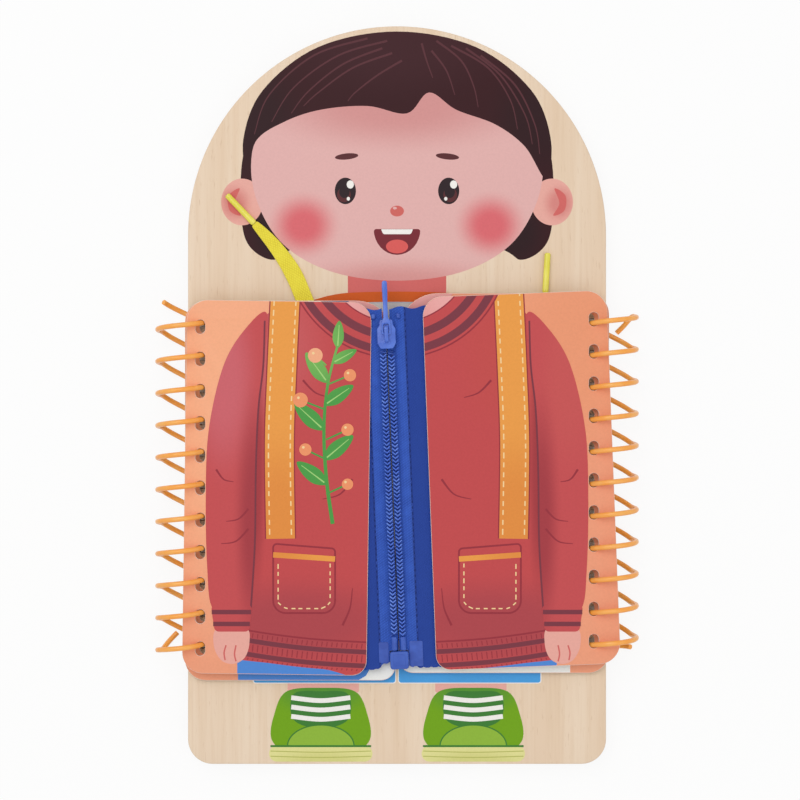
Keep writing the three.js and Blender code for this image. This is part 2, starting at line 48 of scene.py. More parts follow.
cameraView = {"aimX": 1.2 * mm, "aimY": -2.0 * mm, "planeZ": 12 * mm, "distance": 1.0,
              "frameWidth": 324.3 * mm, "sensor": 36.0}
studio = {"worldStrength": 0.6, "keyPower": 4.5, "keySize": 0.9, "keyPlace": (-0.35, 0.45, 1.1),
          "fillPower": 2.2, "fillSize": 1.2, "fillPlace": (0.6, -0.5, 1.0), "floorSize": 6.0,
          "floorColour": "#F7F7F6", "floorGlow": 0.88}
coveredFloor = {"halfWidth": 84 * mm, "foot": 149 * mm, "headMiddle": 65 * mm, "corner": 9 * mm,
                "softEdge": 1 * mm}


def hexColour(text, alpha=1.0):
    channels = [int(text[i:i + 2], 16) / 255 for i in (1, 3, 5)]
    linear = [c / 12.92 if c <= 0.04045 else ((c + 0.055) / 1.055) ** 2.4 for c in channels]
    return (*linear, alpha)


def addNode(tree, kind, links=None, **settings):
    node = tree.nodes.new(kind)
    for key, value in settings.items():
        setattr(node, key, value)
    for socket, value in (links or {}).items():
        if isinstance(value, bpy.types.NodeSocket):
            tree.links.new(value, node.inputs[socket])
        else:
            node.inputs[socket].default_value = value
    return node


def aimAt(thing, target):
    thing.rotation_euler = (Vector(target) - thing.location).to_track_quat("-Z", "Y").to_euler()


def makeCamera(view):
    data = bpy.data.cameras.new("topCamera")
    data.sensor_width = view["sensor"]
    data.lens = view["sensor"] * view["distance"] / view["frameWidth"]
    camera = bpy.data.objects.new("topCamera", data)
    camera.location = (view["aimX"], view["aimY"], view["planeZ"] + view["distance"])
    bpy.context.scene.collection.objects.link(camera)
    bpy.context.scene.camera = camera


def makeSoftbox(name, power, size, place):
    data = bpy.data.lights.new(name, "AREA")
    data.energy, data.size = power, size
    lamp = bpy.data.objects.new(name, data)
    lamp.location = place
    aimAt(lamp, (0, 0, 0))
    bpy.context.scene.collection.objects.link(lamp)


def seenRays(tree):
    # Rays that show the background: from the camera, in a reflection or through glass
    rays = addNode(tree, "ShaderNodeLightPath").outputs
    direct = addNode(tree, "ShaderNodeMath", {0: rays["Is Camera Ray"], 1: rays["Is Glossy Ray"]},
                     operation="MAXIMUM")
    return addNode(tree, "ShaderNodeMath", {0: direct.outputs[0], 1: rays["Is Transmission Ray"]},
                   operation="MAXIMUM").outputs[0]


def finishMesh(bm, name, sharpDegrees=None):
    mesh = bpy.data.meshes.new(name)
    bm.to_mesh(mesh)
    bm.free()
    if sharpDegrees is not None:
        mesh.shade_smooth()
        mesh.set_sharp_from_angle(angle=math.radians(sharpDegrees))
    piece = bpy.data.objects.new(name, mesh)
    bpy.context.scene.collection.objects.link(piece)
    return piece


def openFloor(tree, covered):
    # 0 under the board and 1 beside it, with the board's arched head and its rounded corners at the foot
    place = addNode(tree, "ShaderNodeTexCoord").outputs["Object"]
    folded = addNode(tree, "ShaderNodeVectorMath", {0: place}, operation="ABSOLUTE").outputs[0]
    half, corner = covered["halfWidth"], covered["corner"]
    reach = []
    for spot, middle, least, size in (
            (place, (0, covered["headMiddle"], 0), (-studio["floorSize"], 0, 0), half),
            (folded, (half - corner, covered["foot"] - corner, 0), (0, 0, 0), corner)):
        past = addNode(tree, "ShaderNodeVectorMath", {0: spot, 1: middle}, operation="SUBTRACT")
        kept = addNode(tree, "ShaderNodeVectorMath", {0: past.outputs[0], 1: least}, operation="MAXIMUM")
        away = addNode(tree, "ShaderNodeVectorMath", {0: kept.outputs[0]}, operation="LENGTH")
        reach.append(addNode(tree, "ShaderNodeMapRange",
                             {"Value": away.outputs["Value"], "From Min": size - covered["softEdge"],
                              "From Max": size}).outputs[0])
    return addNode(tree, "ShaderNodeMath", {0: reach[0], 1: reach[1]}, operation="MAXIMUM").outputs[0]


def makeStudio(values):
    world = bpy.data.worlds.new("paleStudio")
    world.use_nodes = True
    tree = world.node_tree
    tree.nodes.clear()
    seen = seenRays(tree)
    strength = addNode(tree, "ShaderNodeMapRange",
                       {"Value": seen, "To Min": values["worldStrength"], "To Max": 1.0})
    back = addNode(tree, "ShaderNodeBackground", {"Color": (1, 1, 1, 1), "Strength": strength.outputs[0]})
    addNode(tree, "ShaderNodeOutputWorld", {"Surface": back.outputs[0]})
    bpy.context.scene.world = world
    makeSoftbox("keySoftbox", values["keyPower"], values["keySize"], values["keyPlace"])
    makeSoftbox("fillSoftbox", values["fillPower"], values["fillSize"], values["fillPlace"])
    bm = bmesh.new()
    bmesh.ops.create_grid(bm, x_segments=1, y_segments=1, size=values["floorSize"] / 2)
    floor = finishMesh(bm, "studioFloor")
    material = bpy.data.materials.new("paleSweep")
    material.use_nodes = True
    tree = material.node_tree
    tree.nodes.clear()
    matt = addNode(tree, "ShaderNodeBsdfDiffuse", {"Color": hexColour(values["floorColour"])})
    glow = addNode(tree, "ShaderNodeEmission", {"Color": (1, 1, 1, 1), "Strength": 1.0})
    # Under the board the floor has no glow of its own, so the punched holes stay dark
    glowing = addNode(tree, "ShaderNodeMath", {0: seenRays(tree), 1: values["floorGlow"]},
                      operation="MULTIPLY")
    share = addNode(tree, "ShaderNodeMath", {0: glowing.outputs[0], 1: openFloor(tree, coveredFloor)},
                    operation="MULTIPLY")
    mixed = addNode(tree, "ShaderNodeMixShader",
                    {0: share.outputs[0], 1: matt.outputs[0], 2: glow.outputs[0]})
    addNode(tree, "ShaderNodeOutputMaterial", {"Surface": mixed.outputs[0]})
    floor.data.materials.append(material)
    bpy.context.scene.view_settings.view_transform = "Standard"


makeCamera(cameraView)
makeStudio(studio)
print("camera and studio ready")


# Outlines, all in millimetres in the board's frame

def oval(x, y, width, height=None, steps=48, start=0, end=fullTurn):
    # A whole oval leaves out its last point, which is its first
    height = width if height is None else height
    turns = [start + (end - start) * i / steps for i in range(steps + (end - start < fullTurn))]
    return [(x + width / 2 * math.cos(a), y + height / 2 * math.sin(a)) for a in turns]


def rounded(corners, steps=8):
    # Each corner is x, y and its radius
    points = []
    for i, (x, y, radius) in enumerate(corners):
        here = Vector((x, y))
        before = (Vector(corners[i - 1][:2]) - here).normalized()
        after = (Vector(corners[(i + 1) % len(corners)][:2]) - here).normalized()
        half = before.angle(after) / 2
        if radius == 0:
            points.append((x, y))
            continue
        centre = here + (before + after).normalized() * radius / math.sin(half)
        first = here + before * radius / math.tan(half) - centre
        last = here + after * radius / math.tan(half) - centre
        sweepAngle = first.angle_signed(last)
        for step in range(steps + 1):
            spoke = Matrix.Rotation(-sweepAngle * step / steps, 2) @ first
            points.append(tuple(centre + spoke))
    return points


def box(left, right, bottom, top, radius=0, steps=8):
    return rounded([(left, bottom, radius), (right, bottom, radius), (right, top, radius),
                    (left, top, radius)], steps)


def smooth(points, closed=True, steps=8):
    # A soft line through the points
    count = len(points)
    spots = [Vector(point) for point in points]
    pick = (lambda i: spots[i % count]) if closed else (lambda i: spots[min(max(i, 0), count - 1)])
    line = []
    for i in range(count if closed else count - 1):
        a, b, c, d = pick(i - 1), pick(i), pick(i + 1), pick(i + 2)
        for step in range(steps):
            t = step / steps
            line.append(tuple(0.5 * (2 * b + (c - a) * t + (2 * a - 5 * b + 4 * c - d) * t * t
                                     + (3 * b - a - 3 * c + d) * t ** 3)))
    return line if closed else line + [tuple(spots[-1])]


def ribbon(points, width, taper=1.0):
    # A band along a line, narrowing to taper times its width
    line = [Vector(p) for p in points]
    left, right = [], []
    for i, spot in enumerate(line):
        along = (line[min(i + 1, len(line) - 1)] - line[max(i - 1, 0)]).normalized()
        half = Vector((-along.y, along.x)) * width / 2 * (1 + (taper - 1) * i / (len(line) - 1))
        left.append(tuple(spot + half))
        right.append(tuple(spot - half))
    return left + right[::-1]


def mirrored(outline):
    return [(-x, y) for x, y in outline]


def bothHalves(half):
    # The whole of an even outline from the half that runs from one middle point to the other
    return half + mirrored(half[-2:0:-1])


def turned(outline, angle, x=0, y=0):
    c, s = math.cos(angle), math.sin(angle)
    return [(x + (px - x) * c - (py - y) * s, y + (px - x) * s + (py - y) * c) for px, py in outline]


# Shared ways of making a mesh

def curveMesh(data):
    # The closed mesh that a curve's fill and bevel make
    curve = bpy.data.objects.new(data.name, data)
    bpy.context.scene.collection.objects.link(curve)
    mesh = bpy.data.meshes.new_from_object(curve.evaluated_get(bpy.context.evaluated_depsgraph_get()))
    bpy.data.objects.remove(curve)
    bm = bmesh.new()
    bm.from_mesh(mesh)
    bpy.data.meshes.remove(mesh)
    bmesh.ops.remove_doubles(bm, verts=bm.verts, dist=weldDistance)
    bmesh.ops.recalc_face_normals(bm, faces=bm.faces)
    return bm


def addLine(data, points, closed):
    spline = data.splines.new("POLY")
    spline.points.add(len(points) - 1)
    for point, place in zip(spline.points, points):
        point.co = (*(c * mm for c in place), *(3 - len(place)) * [0], 1)
    spline.use_cyclic_u = closed


def flatShape(outlines, thickness=0.0, rounding=0.0):
    # Fills the first outline and leaves the others open; a rounding softens both edges
    data = bpy.data.curves.new("outline", "CURVE")
    data.dimensions = "2D"
    data.fill_mode = "BOTH"
    data.extrude = (thickness / 2 - rounding) * mm
    data.bevel_depth = rounding * mm
    data.bevel_resolution = 2
    data.offset = -rounding * mm
    for outline in outlines:
        addLine(data, outline, True)
    return curveMesh(data)


def slab(outlines, bottom, thickness, rounding=0.15):
    bm = flatShape(outlines, thickness, rounding)
    bmesh.ops.translate(bm, vec=(0, 0, (bottom + thickness / 2) * mm), verts=bm.verts)
    return bm


def tube(points, radius, sides=12):
    # A round wire through points in millimetres
    data = bpy.data.curves.new("wire", "CURVE")
    data.dimensions = "3D"
    data.bevel_depth = radius * mm
    data.bevel_resolution = (sides - 4) // 2
    data.use_fill_caps = True
    addLine(data, points, False)
    return curveMesh(data)


def evenly(points, spacing):
    # The same line with steps of one length
    spots = [Vector(p) for p in points]
    lengths = [0.0]
    for a, b in zip(spots, spots[1:]):
        lengths.append(lengths[-1] + (b - a).length)
    count = max(2, round(lengths[-1] / spacing))
    line, span = [], 0
    for i in range(count + 1):
        target = lengths[-1] * i / count
        while span < len(spots) - 2 and lengths[span + 1] < target:
            span += 1
        share = (target - lengths[span]) / (lengths[span + 1] - lengths[span])
        line.append(spots[span].lerp(spots[span + 1], min(max(share, 0), 1)))
    return line, lengths[-1]


def sweep(line, length, section, around, flatAxis=None):
    # A closed body along a line in millimetres. section gives the offsets across and up at a share of the
    # length and an angle; flatAxis is the side direction where the strip bends over its flat face.
    bm = bmesh.new()
    uv = bm.loops.layers.uv.new("UVMap")
    bmesh.ops.create_grid(bm, x_segments=len(line) - 1, y_segments=around, size=0.5)
    for face in bm.faces:
        for loop in face.loops:
            share, angle = loop.vert.co.x + 0.5, fullTurn * (loop.vert.co.y + 0.5)
            loop[uv].uv = (share * length * mm, section(share, angle)[0] * mm)
    for vert in bm.verts:
        share, angle = vert.co.x + 0.5, fullTurn * (vert.co.y + 0.5)
        i = round(share * (len(line) - 1))
        tangent = (line[min(i + 1, len(line) - 1)] - line[max(i - 1, 0)]).normalized()
        side = Vector(flatAxis) if flatAxis else upward.cross(tangent).normalized()
        rise = tangent.cross(side)
        across, lift = section(share, angle)
        vert.co = (line[i] + side * across + rise * lift) * mm
    bmesh.ops.remove_doubles(bm, verts=bm.verts, dist=weldDistance)
    bmesh.ops.holes_fill(bm, edges=[e for e in bm.edges if e.is_boundary], sides=0)
    bmesh.ops.recalc_face_normals(bm, faces=bm.faces)
    return bm


def softStep(value):
    value = min(max(value, 0), 1)
    return value * value * (3 - 2 * value)


def squared(value, power):
    # A cosine or sine drawn out towards its ends, for a section with flatter sides
    return math.copysign(abs(value) ** power, value)


def join(bm, other):
    # Adds the faces of one bmesh to another
    mesh = bpy.data.meshes.new("joined")
    other.to_mesh(mesh)
    other.free()
    bm.from_mesh(mesh)
    bpy.data.meshes.remove(mesh)


def dress(piece, body, materials, replaced=()):
    for material in materials:
        piece.data.materials.append(material)
    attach(piece, body)
    if replaced:
        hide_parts(*replaced)
    return piece


# Materials

def startMaterial(name, **sockets):
    material = bpy.data.materials.new(name)
    material.use_nodes = True
    tree = material.node_tree
    tree.nodes.clear()
    shader = addNode(tree, "ShaderNodeBsdfPrincipled", sockets)
    addNode(tree, "ShaderNodeOutputMaterial", {"Surface": shader.outputs[0]})
    return material, tree, shader


patchSize = {"faded": 4.1667, "rubbed": 6.25}  # Worn patches of yarn and of the other goods, in millimetres


# Two crossed sets of ridges, as in woven and braided goods; the angles turn them on the piece's own UV map.
# At a scale of 1 Blender's wave texture repeats every tenth of pi. The spacings are a little coarser than
# real ones, so that they show.
def weaveHeight(tree, periods, angles):
    strip = addNode(tree, "ShaderNodeTexCoord").outputs["UV"]
    ridges = []
    for period, angle in zip(periods, angles):
        turnedUv = addNode(tree, "ShaderNodeMapping",
                           {"Vector": strip, "Rotation": (0, 0, math.radians(angle))})
        ridges.append(addNode(tree, "ShaderNodeTexWave",
                              {"Vector": turnedUv.outputs[0], "Scale": math.pi / 10 / (period * mm),
                               "Distortion": 0.6, "Detail": 1.0, "Detail Scale": 2.0}).outputs[1])
    return addNode(tree, "ShaderNodeMath", {0: ridges[0], 1: ridges[1]}, operation="MULTIPLY").outputs[0]


# Dyed yarn: the valleys between the yarns are painted darker than their crowns, a painted shade, and loose
# fibres scatter the light
def yarnGoods(name, valley, crown, periods, angles, depth, seamLine=None):
    material, tree, shader = startMaterial(name, **{"Roughness": 0.85, "Sheen Weight": 0.25,
                                                    "Specular IOR Level": 0.2})
    height = weaveHeight(tree, periods, angles)
    place = addNode(tree, "ShaderNodeTexCoord").outputs["Object"]
    wear = addNode(tree, "ShaderNodeTexNoise",
                   {"Vector": place, "Scale": 1 / (patchSize["faded"] * mm), "Detail": 3.0})
    # Painted shade: the low parts of the weave take the valley colour and the high parts the crown colour
    crowned = addNode(tree, "ShaderNodeMapRange", {"Value": height, "From Max": 0.75})
    colour = addNode(tree, "ShaderNodeMix",
                     {0: crowned.outputs[0], 6: hexColour(valley), 7: hexColour(crown)}, data_type="RGBA")
    faded = addNode(tree, "ShaderNodeMix", {0: wear.outputs[0], 6: colour.outputs[2], 7: hexColour(crown)},
                    data_type="RGBA")
    if seamLine:  # The seam's groove is painted as a dark line, a painted shade, and past the seam the cloth is drawn darker
        start = seamLine["x"] * mm
        strip = addNode(tree, "ShaderNodeTexCoord").outputs["UV"]
        sideways = addNode(tree, "ShaderNodeSeparateXYZ", {0: strip}).outputs[0]
        across = addNode(tree, "ShaderNodeMath", {0: sideways}, operation="ABSOLUTE")
        past = addNode(tree, "ShaderNodeMapRange", {"Value": across.outputs[0], "From Min": start,
                       "From Max": start + seamLine["fade"] * mm, "To Max": seamLine["pastDarkShare"]})
        darkenedPast = addNode(tree, "ShaderNodeMix", {0: past.outputs[0], 6: faded.outputs[2], 7: hexColour(valley)},
                       data_type="RGBA")
        pressed = addNode(tree, "ShaderNodeMath",
                          {0: across.outputs[0], 1: start, 2: seamLine["halfWidth"] * mm},
                          operation="COMPARE")
        lined = addNode(tree, "ShaderNodeMath", {0: pressed.outputs[0], 1: seamLine["share"]},
                        operation="MULTIPLY")
        faded = addNode(tree, "ShaderNodeMix",
                        {0: lined.outputs[0], 6: darkenedPast.outputs[2], 7: hexColour(seamLine["colour"])},
                        data_type="RGBA")
    relief = addNode(tree, "ShaderNodeBump", {"Height": height, "Strength": 0.6, "Distance": depth * mm})
    tree.links.new(faded.outputs[2], shader.inputs["Base Color"])
    tree.links.new(relief.outputs[0], shader.inputs["Normal"])
    return material


# Evenly coloured goods: a little paler where they are rubbed, with a fine grain in their gloss
def fineGrained(name, colour, rubbed, roughness, grainSize, reliefDepth, coat=0.0):
    material, tree, shader = startMaterial(name, **{"Roughness": roughness, "Coat Weight": coat,
                                                    "Coat Roughness": 0.15})
    place = addNode(tree, "ShaderNodeTexCoord").outputs["Object"]
    cloud = addNode(tree, "ShaderNodeTexNoise",
                    {"Vector": place, "Scale": 1 / (patchSize["rubbed"] * mm), "Detail": 3.0})
    share = addNode(tree, "ShaderNodeMapRange", {"Value": cloud.outputs[0], "From Min": 0.4, "From Max": 0.7})
    tone = addNode(tree, "ShaderNodeMix", {0: share.outputs[0], 6: hexColour(colour), 7: hexColour(rubbed)},
                   data_type="RGBA")
    grain = addNode(tree, "ShaderNodeTexNoise",
                    {"Vector": place, "Scale": 1 / (grainSize * mm), "Detail": 2.0})
    relief = addNode(tree, "ShaderNodeBump",
                     {"Height": grain.outputs[0], "Strength": 0.4, "Distance": reliefDepth * mm})
    tree.links.new(tone.outputs[2], shader.inputs["Base Color"])
    tree.links.new(relief.outputs[0], shader.inputs["Normal"])
    return material


birch = {"pale": "#ECD2B6", "light": "#F2DCC3", "streak": "#E3C6A6", "pore": "#D5B491", "crossPly": "#B98F63",
         "broadGrain": 11.111, "fineGrain": 1.1111, "poreSize": 0.66667, "plyMiddle": 6.7, "plyHalf": 0.85}


# Sanded birch plywood: pale close grain along the board with short fine pores, and a darker cross ply on
# its edge
def birchPly(values):
    material, tree, shader = startMaterial("sandedBirchPly", **{"Roughness": 0.6, "Specular IOR Level": 0.3})
    place = addNode(tree, "ShaderNodeTexCoord").outputs["Object"]
    drawnOut = addNode(tree, "ShaderNodeMapping", {"Vector": place, "Scale": (1, 0.03, 1)}).outputs[0]
    dashed = addNode(tree, "ShaderNodeMapping", {"Vector": place, "Scale": (1, 0.12, 1)}).outputs[0]
    cloud = addNode(tree, "ShaderNodeTexNoise", {"Vector": drawnOut, "Scale": 1 / (values["broadGrain"] * mm),
                    "Detail": 4.0, "Distortion": 0.4})
    streaks = addNode(tree, "ShaderNodeTexNoise",
                      {"Vector": drawnOut, "Scale": 1 / (values["fineGrain"] * mm), "Detail": 5.0})
    pores = addNode(tree, "ShaderNodeTexNoise", {"Vector": dashed, "Scale": 1 / (values["poreSize"] * mm),
                    "Detail": 2.0})
    tone = hexColour(values["pale"])
    for noise, least, most, share, colour in ((cloud, 0.35, 0.68, 1.0, "light"),
                                              (streaks, 0.45, 0.75, 0.5, "streak"),
                                              (pores, 0.64, 0.76, 0.5, "pore")):
        seen = addNode(tree, "ShaderNodeMapRange", {"Value": noise.outputs[0], "From Min": least,
                       "From Max": most, "To Max": share})
        tone = addNode(tree, "ShaderNodeMix", {0: seen.outputs[0], 6: tone, 7: hexColour(values[colour])},
                       data_type="RGBA").outputs[2]
    height = addNode(tree, "ShaderNodeSeparateXYZ", {0: place}).outputs[2]
    crossPly = addNode(tree, "ShaderNodeMath",
                       {0: height, 1: values["plyMiddle"] * mm, 2: values["plyHalf"] * mm},
                       operation="COMPARE")
    plies = addNode(tree, "ShaderNodeMix",
                    {0: crossPly.outputs[0], 6: tone, 7: hexColour(values["crossPly"])}, data_type="RGBA")
    relief = addNode(tree, "ShaderNodeBump",
                     {"Height": streaks.outputs[0], "Strength": 0.25, "Distance": 0.1 * mm})
    tree.links.new(plies.outputs[2], shader.inputs["Base Color"])
    tree.links.new(relief.outputs[0], shader.inputs["Normal"])
    return material


# Each has its colour, its rubbed colour, its roughness, its grain and relief in millimetres, and the gloss
# of its coat. The wire and the lace's tips are plastic with a soft gloss; the braid is matt.
coilWireMaterial = fineGrained("extrudedOrangeNylon", "#FFA842", "#FFB85C", 0.3, 0.8, 0.015, 0.15)
laceMaterial = yarnGoods("yellowBraidedPolyester", "#DCC42F", "#F8EA4C", (0.9, 0.9), (58, -58), 0.16)
agletMaterial = fineGrained("shrunkLaceTip", "#E6DC3E", "#F2E85C", 0.25, 0.6, 0.02, 0.4)
# The walls of the board's holes are painted nearly black and matt, a painted shade, and cut card is dull
# white
birchMaterial = birchPly(birch)
holeShadeMaterial = fineGrained("paintedShadeHoleWall", "#3A1F16", "#54301F", 0.8, 0.3, 0.05)
coreMaterial = fineGrained("whiteCardCore", "#F3EEE6", "#F5F1E9", 0.75, 0.15, 0.03)
# Cast resin has a glossy skin, and thread and elastic are matt with a rough twist
buttonMaterial = fineGrained("castPolyesterButton", "#EDE9DA", "#FBF9F1", 0.25, 0.9, 0.02, 0.3)
threadMaterial = fineGrained("cottonButtonThread", "#2F4C86", "#4A6BAA", 0.85, 0.12, 0.08)
elasticMaterial = fineGrained("coveredElastic", "#27365F", "#3A4E80", 0.85, 0.2, 0.12)
# The zip: a matt ribbed tape, nylon with a half gloss, enamel with a clear gloss, and a smooth film
tapeMaterial = yarnGoods("wovenPolyesterTape", "#223F94", "#3D66CC", (0.62, 0.9), (4, 58), 0.12,
                         {"x": 7.7, "fade": 0.3, "pastDarkShare": 0.85, "halfWidth": 0.32, "share": 0.85,
                          "colour": "#122463"})
nylonMaterial = fineGrained("dyedNylonCoil", "#24439C", "#3A60BE", 0.4, 0.4, 0.02)
stitchMaterial = fineGrained("polyesterSewingThread", "#4A74DE", "#7399F0", 0.6, 0.15, 0.06)
mouldedNylonMaterial = fineGrained("mouldedNylon", "#2B50B0", "#3D64C4", 0.42, 0.5, 0.03)
enamelMaterial = fineGrained("bakedZipEnamel", "#3B61C8", "#5078DC", 0.32, 0.45, 0.03, 0.3)
filmMaterial = fineGrained("weldedTapeFilm", "#284AA8", "#3A60C2", 0.35, 0.5, 0.05)
seamMaterial = fineGrained("darkSewingThread", "#1F3C92", "#2F52B4", 0.8, 0.12, 0.06)

# Sizes in millimetres; the mottle is drawn coarser than a real one, so that it shows
satinPrint = {"roughness": 0.4, "gloss": 0.16, "mottle": 0.90909, "mottleDepth": 0.09, "ripple": 3.8462,
              "rippleDepth": 0.2}


# Offset ink under a satin film: soft spots of shade, mostly the print's own airbrushed shading and on some
# inks a painted sheen or painted shade, a fine mottle of the print and a faint ripple of the film
def printedInk(name, colour, spots=()):
    # Each spot has its middle, width and height in millimetres, its colour and how strong it is
    material, tree, shader = startMaterial(name, **{"Roughness": satinPrint["roughness"],
                                                    "Specular IOR Level": satinPrint["gloss"]})
    place = addNode(tree, "ShaderNodeTexCoord").outputs["Object"]
    shade = hexColour(colour)
    for x, y, width, height, spotColour, strength in spots:
        near = addNode(tree, "ShaderNodeMapping", {"Vector": place, "Location": (x * mm, y * mm, 0),
                       "Scale": (width * mm, height * mm, 1)}, vector_type="TEXTURE")
        glow = addNode(tree, "ShaderNodeTexGradient", {"Vector": near.outputs[0]}, gradient_type="SPHERICAL")
        fade = addNode(tree, "ShaderNodeMapRange", {"Value": glow.outputs[1], "From Max": 0.75,
                       "To Max": strength}, interpolation_type="SMOOTHSTEP")
        shade = addNode(tree, "ShaderNodeMix", {0: fade.outputs[0], 6: shade, 7: hexColour(spotColour)},
                        data_type="RGBA").outputs[2]
    mottle = addNode(tree, "ShaderNodeTexNoise",
                     {"Vector": place, "Scale": 1 / (satinPrint["mottle"] * mm), "Detail": 2.0})
    depth = addNode(tree, "ShaderNodeMapRange", {"Value": mottle.outputs[0], "From Min": 0.35,
                    "From Max": 0.7, "To Max": satinPrint["mottleDepth"]})
    speckled = addNode(tree, "ShaderNodeMix", {0: depth.outputs[0], 6: shade, 7: (0.55, 0.5, 0.5, 1)},
                       data_type="RGBA", blend_type="MULTIPLY")
    ripple = addNode(tree, "ShaderNodeTexNoise",
                     {"Vector": place, "Scale": 1 / (satinPrint["ripple"] * mm), "Detail": 1.0})
    relief = addNode(tree, "ShaderNodeBump", {"Height": ripple.outputs[0], "Strength": 0.12,
                     "Distance": satinPrint["rippleDepth"] * mm})
    tree.links.new(speckled.outputs[2], shader.inputs["Base Color"])
    tree.links.new(relief.outputs[0], shader.inputs["Normal"])
    return material


print("materials ready")


# The lace: two free ends over the face of the board, two runs behind it and a bar across its face

lace = {"width": 7.0, "thickness": 1.0, "middleZ": 10.0, "tipDiameter": 2.0, "tipPressed": 1.3,
        "tipLength": 16.0, "tipZ": 10.5, "tipGap": 0.1, "taperLength": 26.0, "liftLength": 7.0, "foldY": 8.3,
        "holeX": 30.0, "upperHoleY": 4.0, "lowerHoleY": -14.0, "underZ": 3.4, "meetingZ": 6.7, "bend": 1.0,
        "ribs": 5, "ribDepth": 0.16, "braidPitch": 1.6, "gap": 0.3, "heldWidth": 6.0, "step": 0.45,
        "sides": 40, "heldStep": 0.5, "heldSides": 32, "tipSides": 20, "pathEvery": 8,
        "left": [(-30, 8.3), (-30, 11), (-30.3, 14.5), (-30.9, 18.5), (-31.9, 22.8), (-33.2, 27.2),
                 (-34.7, 31.4), (-36.2, 35.2), (-37.7, 39), (-39.3, 43), (-41.2, 47.4), (-43.7, 52),
                 (-46.8, 56.7), (-50.4, 61.4), (-54.2, 65.7), (-57.9, 69.6)],
        "right": [(30, 8.3), (30, 10.5), (30.6, 13.6), (32.2, 16.6), (34.8, 19.2), (38, 21.2), (41.6, 22.8),
                  (45.2, 24.2), (48.8, 25.7), (52.2, 27.5), (55.2, 29.9), (57.6, 33), (59.2, 36.4),
                  (60, 39.4), (60.2, 41.5)]}


def braidSection(values, length, taper):
    # The free ends narrow towards their tips; the sides are nearly square, with ribs and a fine weave
    def section(share, angle):
        left = length * (1 - share)
        narrow = min(left / values["taperLength"], 1) ** 0.55 if taper else 1
        tip = values["tipDiameter"] * values["tipPressed"]
        width = tip + (values["width"] - tip) * narrow
        height = values["thickness"] + (values["tipDiameter"] * 0.85 - values["thickness"]) * (1 - narrow)
        across = squared(math.cos(angle), 0.8) * width / 2
        lift = squared(math.sin(angle), 0.45) * height / 2
        rib = math.cos(across / width * values["ribs"] * fullTurn)
        weave = math.cos(fullTurn * (share * length + abs(across)) / values["braidPitch"])
        return across, lift * (1 - values["ribDepth"] * (1 - rib * 0.6 - weave * 0.4))
    return section


def laceEnd(side, name, routePoints):
    lift = lace["tipZ"] - lace["middleZ"]
    flat = smooth(routePoints, closed=False)
    line, length = evenly([(x, y, lace["middleZ"]) for x, y in flat], lace["step"])
    for i, spot in enumerate(line):
        left = length * (1 - i / (len(line) - 1))
        spot.z += lift * max(0, 1 - left / lace["liftLength"]) ** 2
    bm = sweep(line, length, braidSection(lace, length, True), lace["sides"])
    strip = dress(finishMesh(bm, name, 60), "board", [laceMaterial], ["lace_free_end_" + side])
    heading = (line[-1] - line[-3]).normalized()
    heading.z = 0
    start = line[-1] + heading * lace["tipGap"]
    tipLine, tipLength = evenly([start, start + heading * (lace["tipLength"] + 0.2)], 0.5)

    def tipSection(share, angle):
        # Pressed a little flat, slimmer towards its far end and rounded at both
        end = min(share, 1 - share) * tipLength
        radius = lace["tipDiameter"] / 2 * (1 - 0.25 * max(0, 1 - end / 0.6) ** 2) * (1 - 0.06 * share)
        return lace["tipPressed"] * radius * math.cos(angle), radius * math.sin(angle)
    tip = finishMesh(sweep(tipLine, tipLength, tipSection, lace["tipSides"]), "laceTip" + side.title(), 50)
    dress(tip, "board", [agletMaterial], ["lace_aglet_" + side])


laceEnd("left", "laceFreeEndLeft", lace["left"])
laceEnd("right", "laceFreeEndRight", lace["right"])


def bentLine(corners, radius, steps=6):
    # A line whose corners are bent over a radius
    line = [Vector(corners[0])]
    for before, corner, after in zip(corners, corners[1:], corners[2:]):
        corner = Vector(corner)
        start = corner + (Vector(before) - corner).normalized() * radius
        end = corner + (Vector(after) - corner).normalized() * radius
        for t in [step / steps for step in range(steps + 1)]:
            line.append(start * (1 - t) ** 2 + corner * 2 * t * (1 - t) + end * t * t)
    return line + [Vector(corners[-1])]


def heldLace(name, corners, flatAxis, node):
    values = {**lace, "width": lace["heldWidth"]}
    line, length = evenly(bentLine(corners, lace["bend"]), lace["heldStep"])
    bm = sweep(line, length, braidSection(values, length, False), lace["heldSides"], flatAxis)
    dress(finishMesh(bm, name, 60), "board", [laceMaterial], [node])


def laceRuns():
    # Down each upper hole, along the back and up into the lower hole, where the bar across the face starts
    top, under, meeting = lace["middleZ"], lace["underZ"], lace["meetingZ"]
    upper, lower = lace["upperHoleY"], lace["lowerHoleY"]
    for side, name in ((-1, "left"), (1, "right")):
        x = side * lace["holeX"]
        heldLace("laceRun" + name.title(),
                 [(x, lace["foldY"] - lace["gap"], top), (x, upper, top), (x, upper, under),
                  (x, lower, under), (x, lower, meeting - lace["gap"])], (1, 0, 0), "lace_run_" + name)
    left, right = -lace["holeX"], lace["holeX"]
    meeting += 0.1
    heldLace("laceFrontBar", [(left, lower, meeting), (left, lower, top), (right, lower, top),
                              (right, lower, meeting)], (0, 1, 0), "lace_front_bar")


laceRuns()
print("lace ready")


# The binding coils

coil = {"wireDiameter": 2.1, "radius": 9.6, "axisX": 87.5, "axisZ": 10.44, "pitch": 13.0, "holes": 11,
        "leftMiddleY": -37.4, "rightMiddleY": -34.4, "leftStartReturn": 0.7, "rightStartReturn": 8.0,
        "endReturn": 24.0, "startDegrees": 216.0, "endDegrees": 255.0, "travelDegrees": 170.0,
        "holeSlack": 2.9, "boardBottom": 4.2, "leafMiddleZ": 15.7, "stepsPerTurn": 56, "sides": 16}


def angleAt(height):
    return math.asin((height - coil["axisZ"]) / coil["radius"])


def reachAt(height):
    return coil["radius"] * math.cos(angleAt(height))


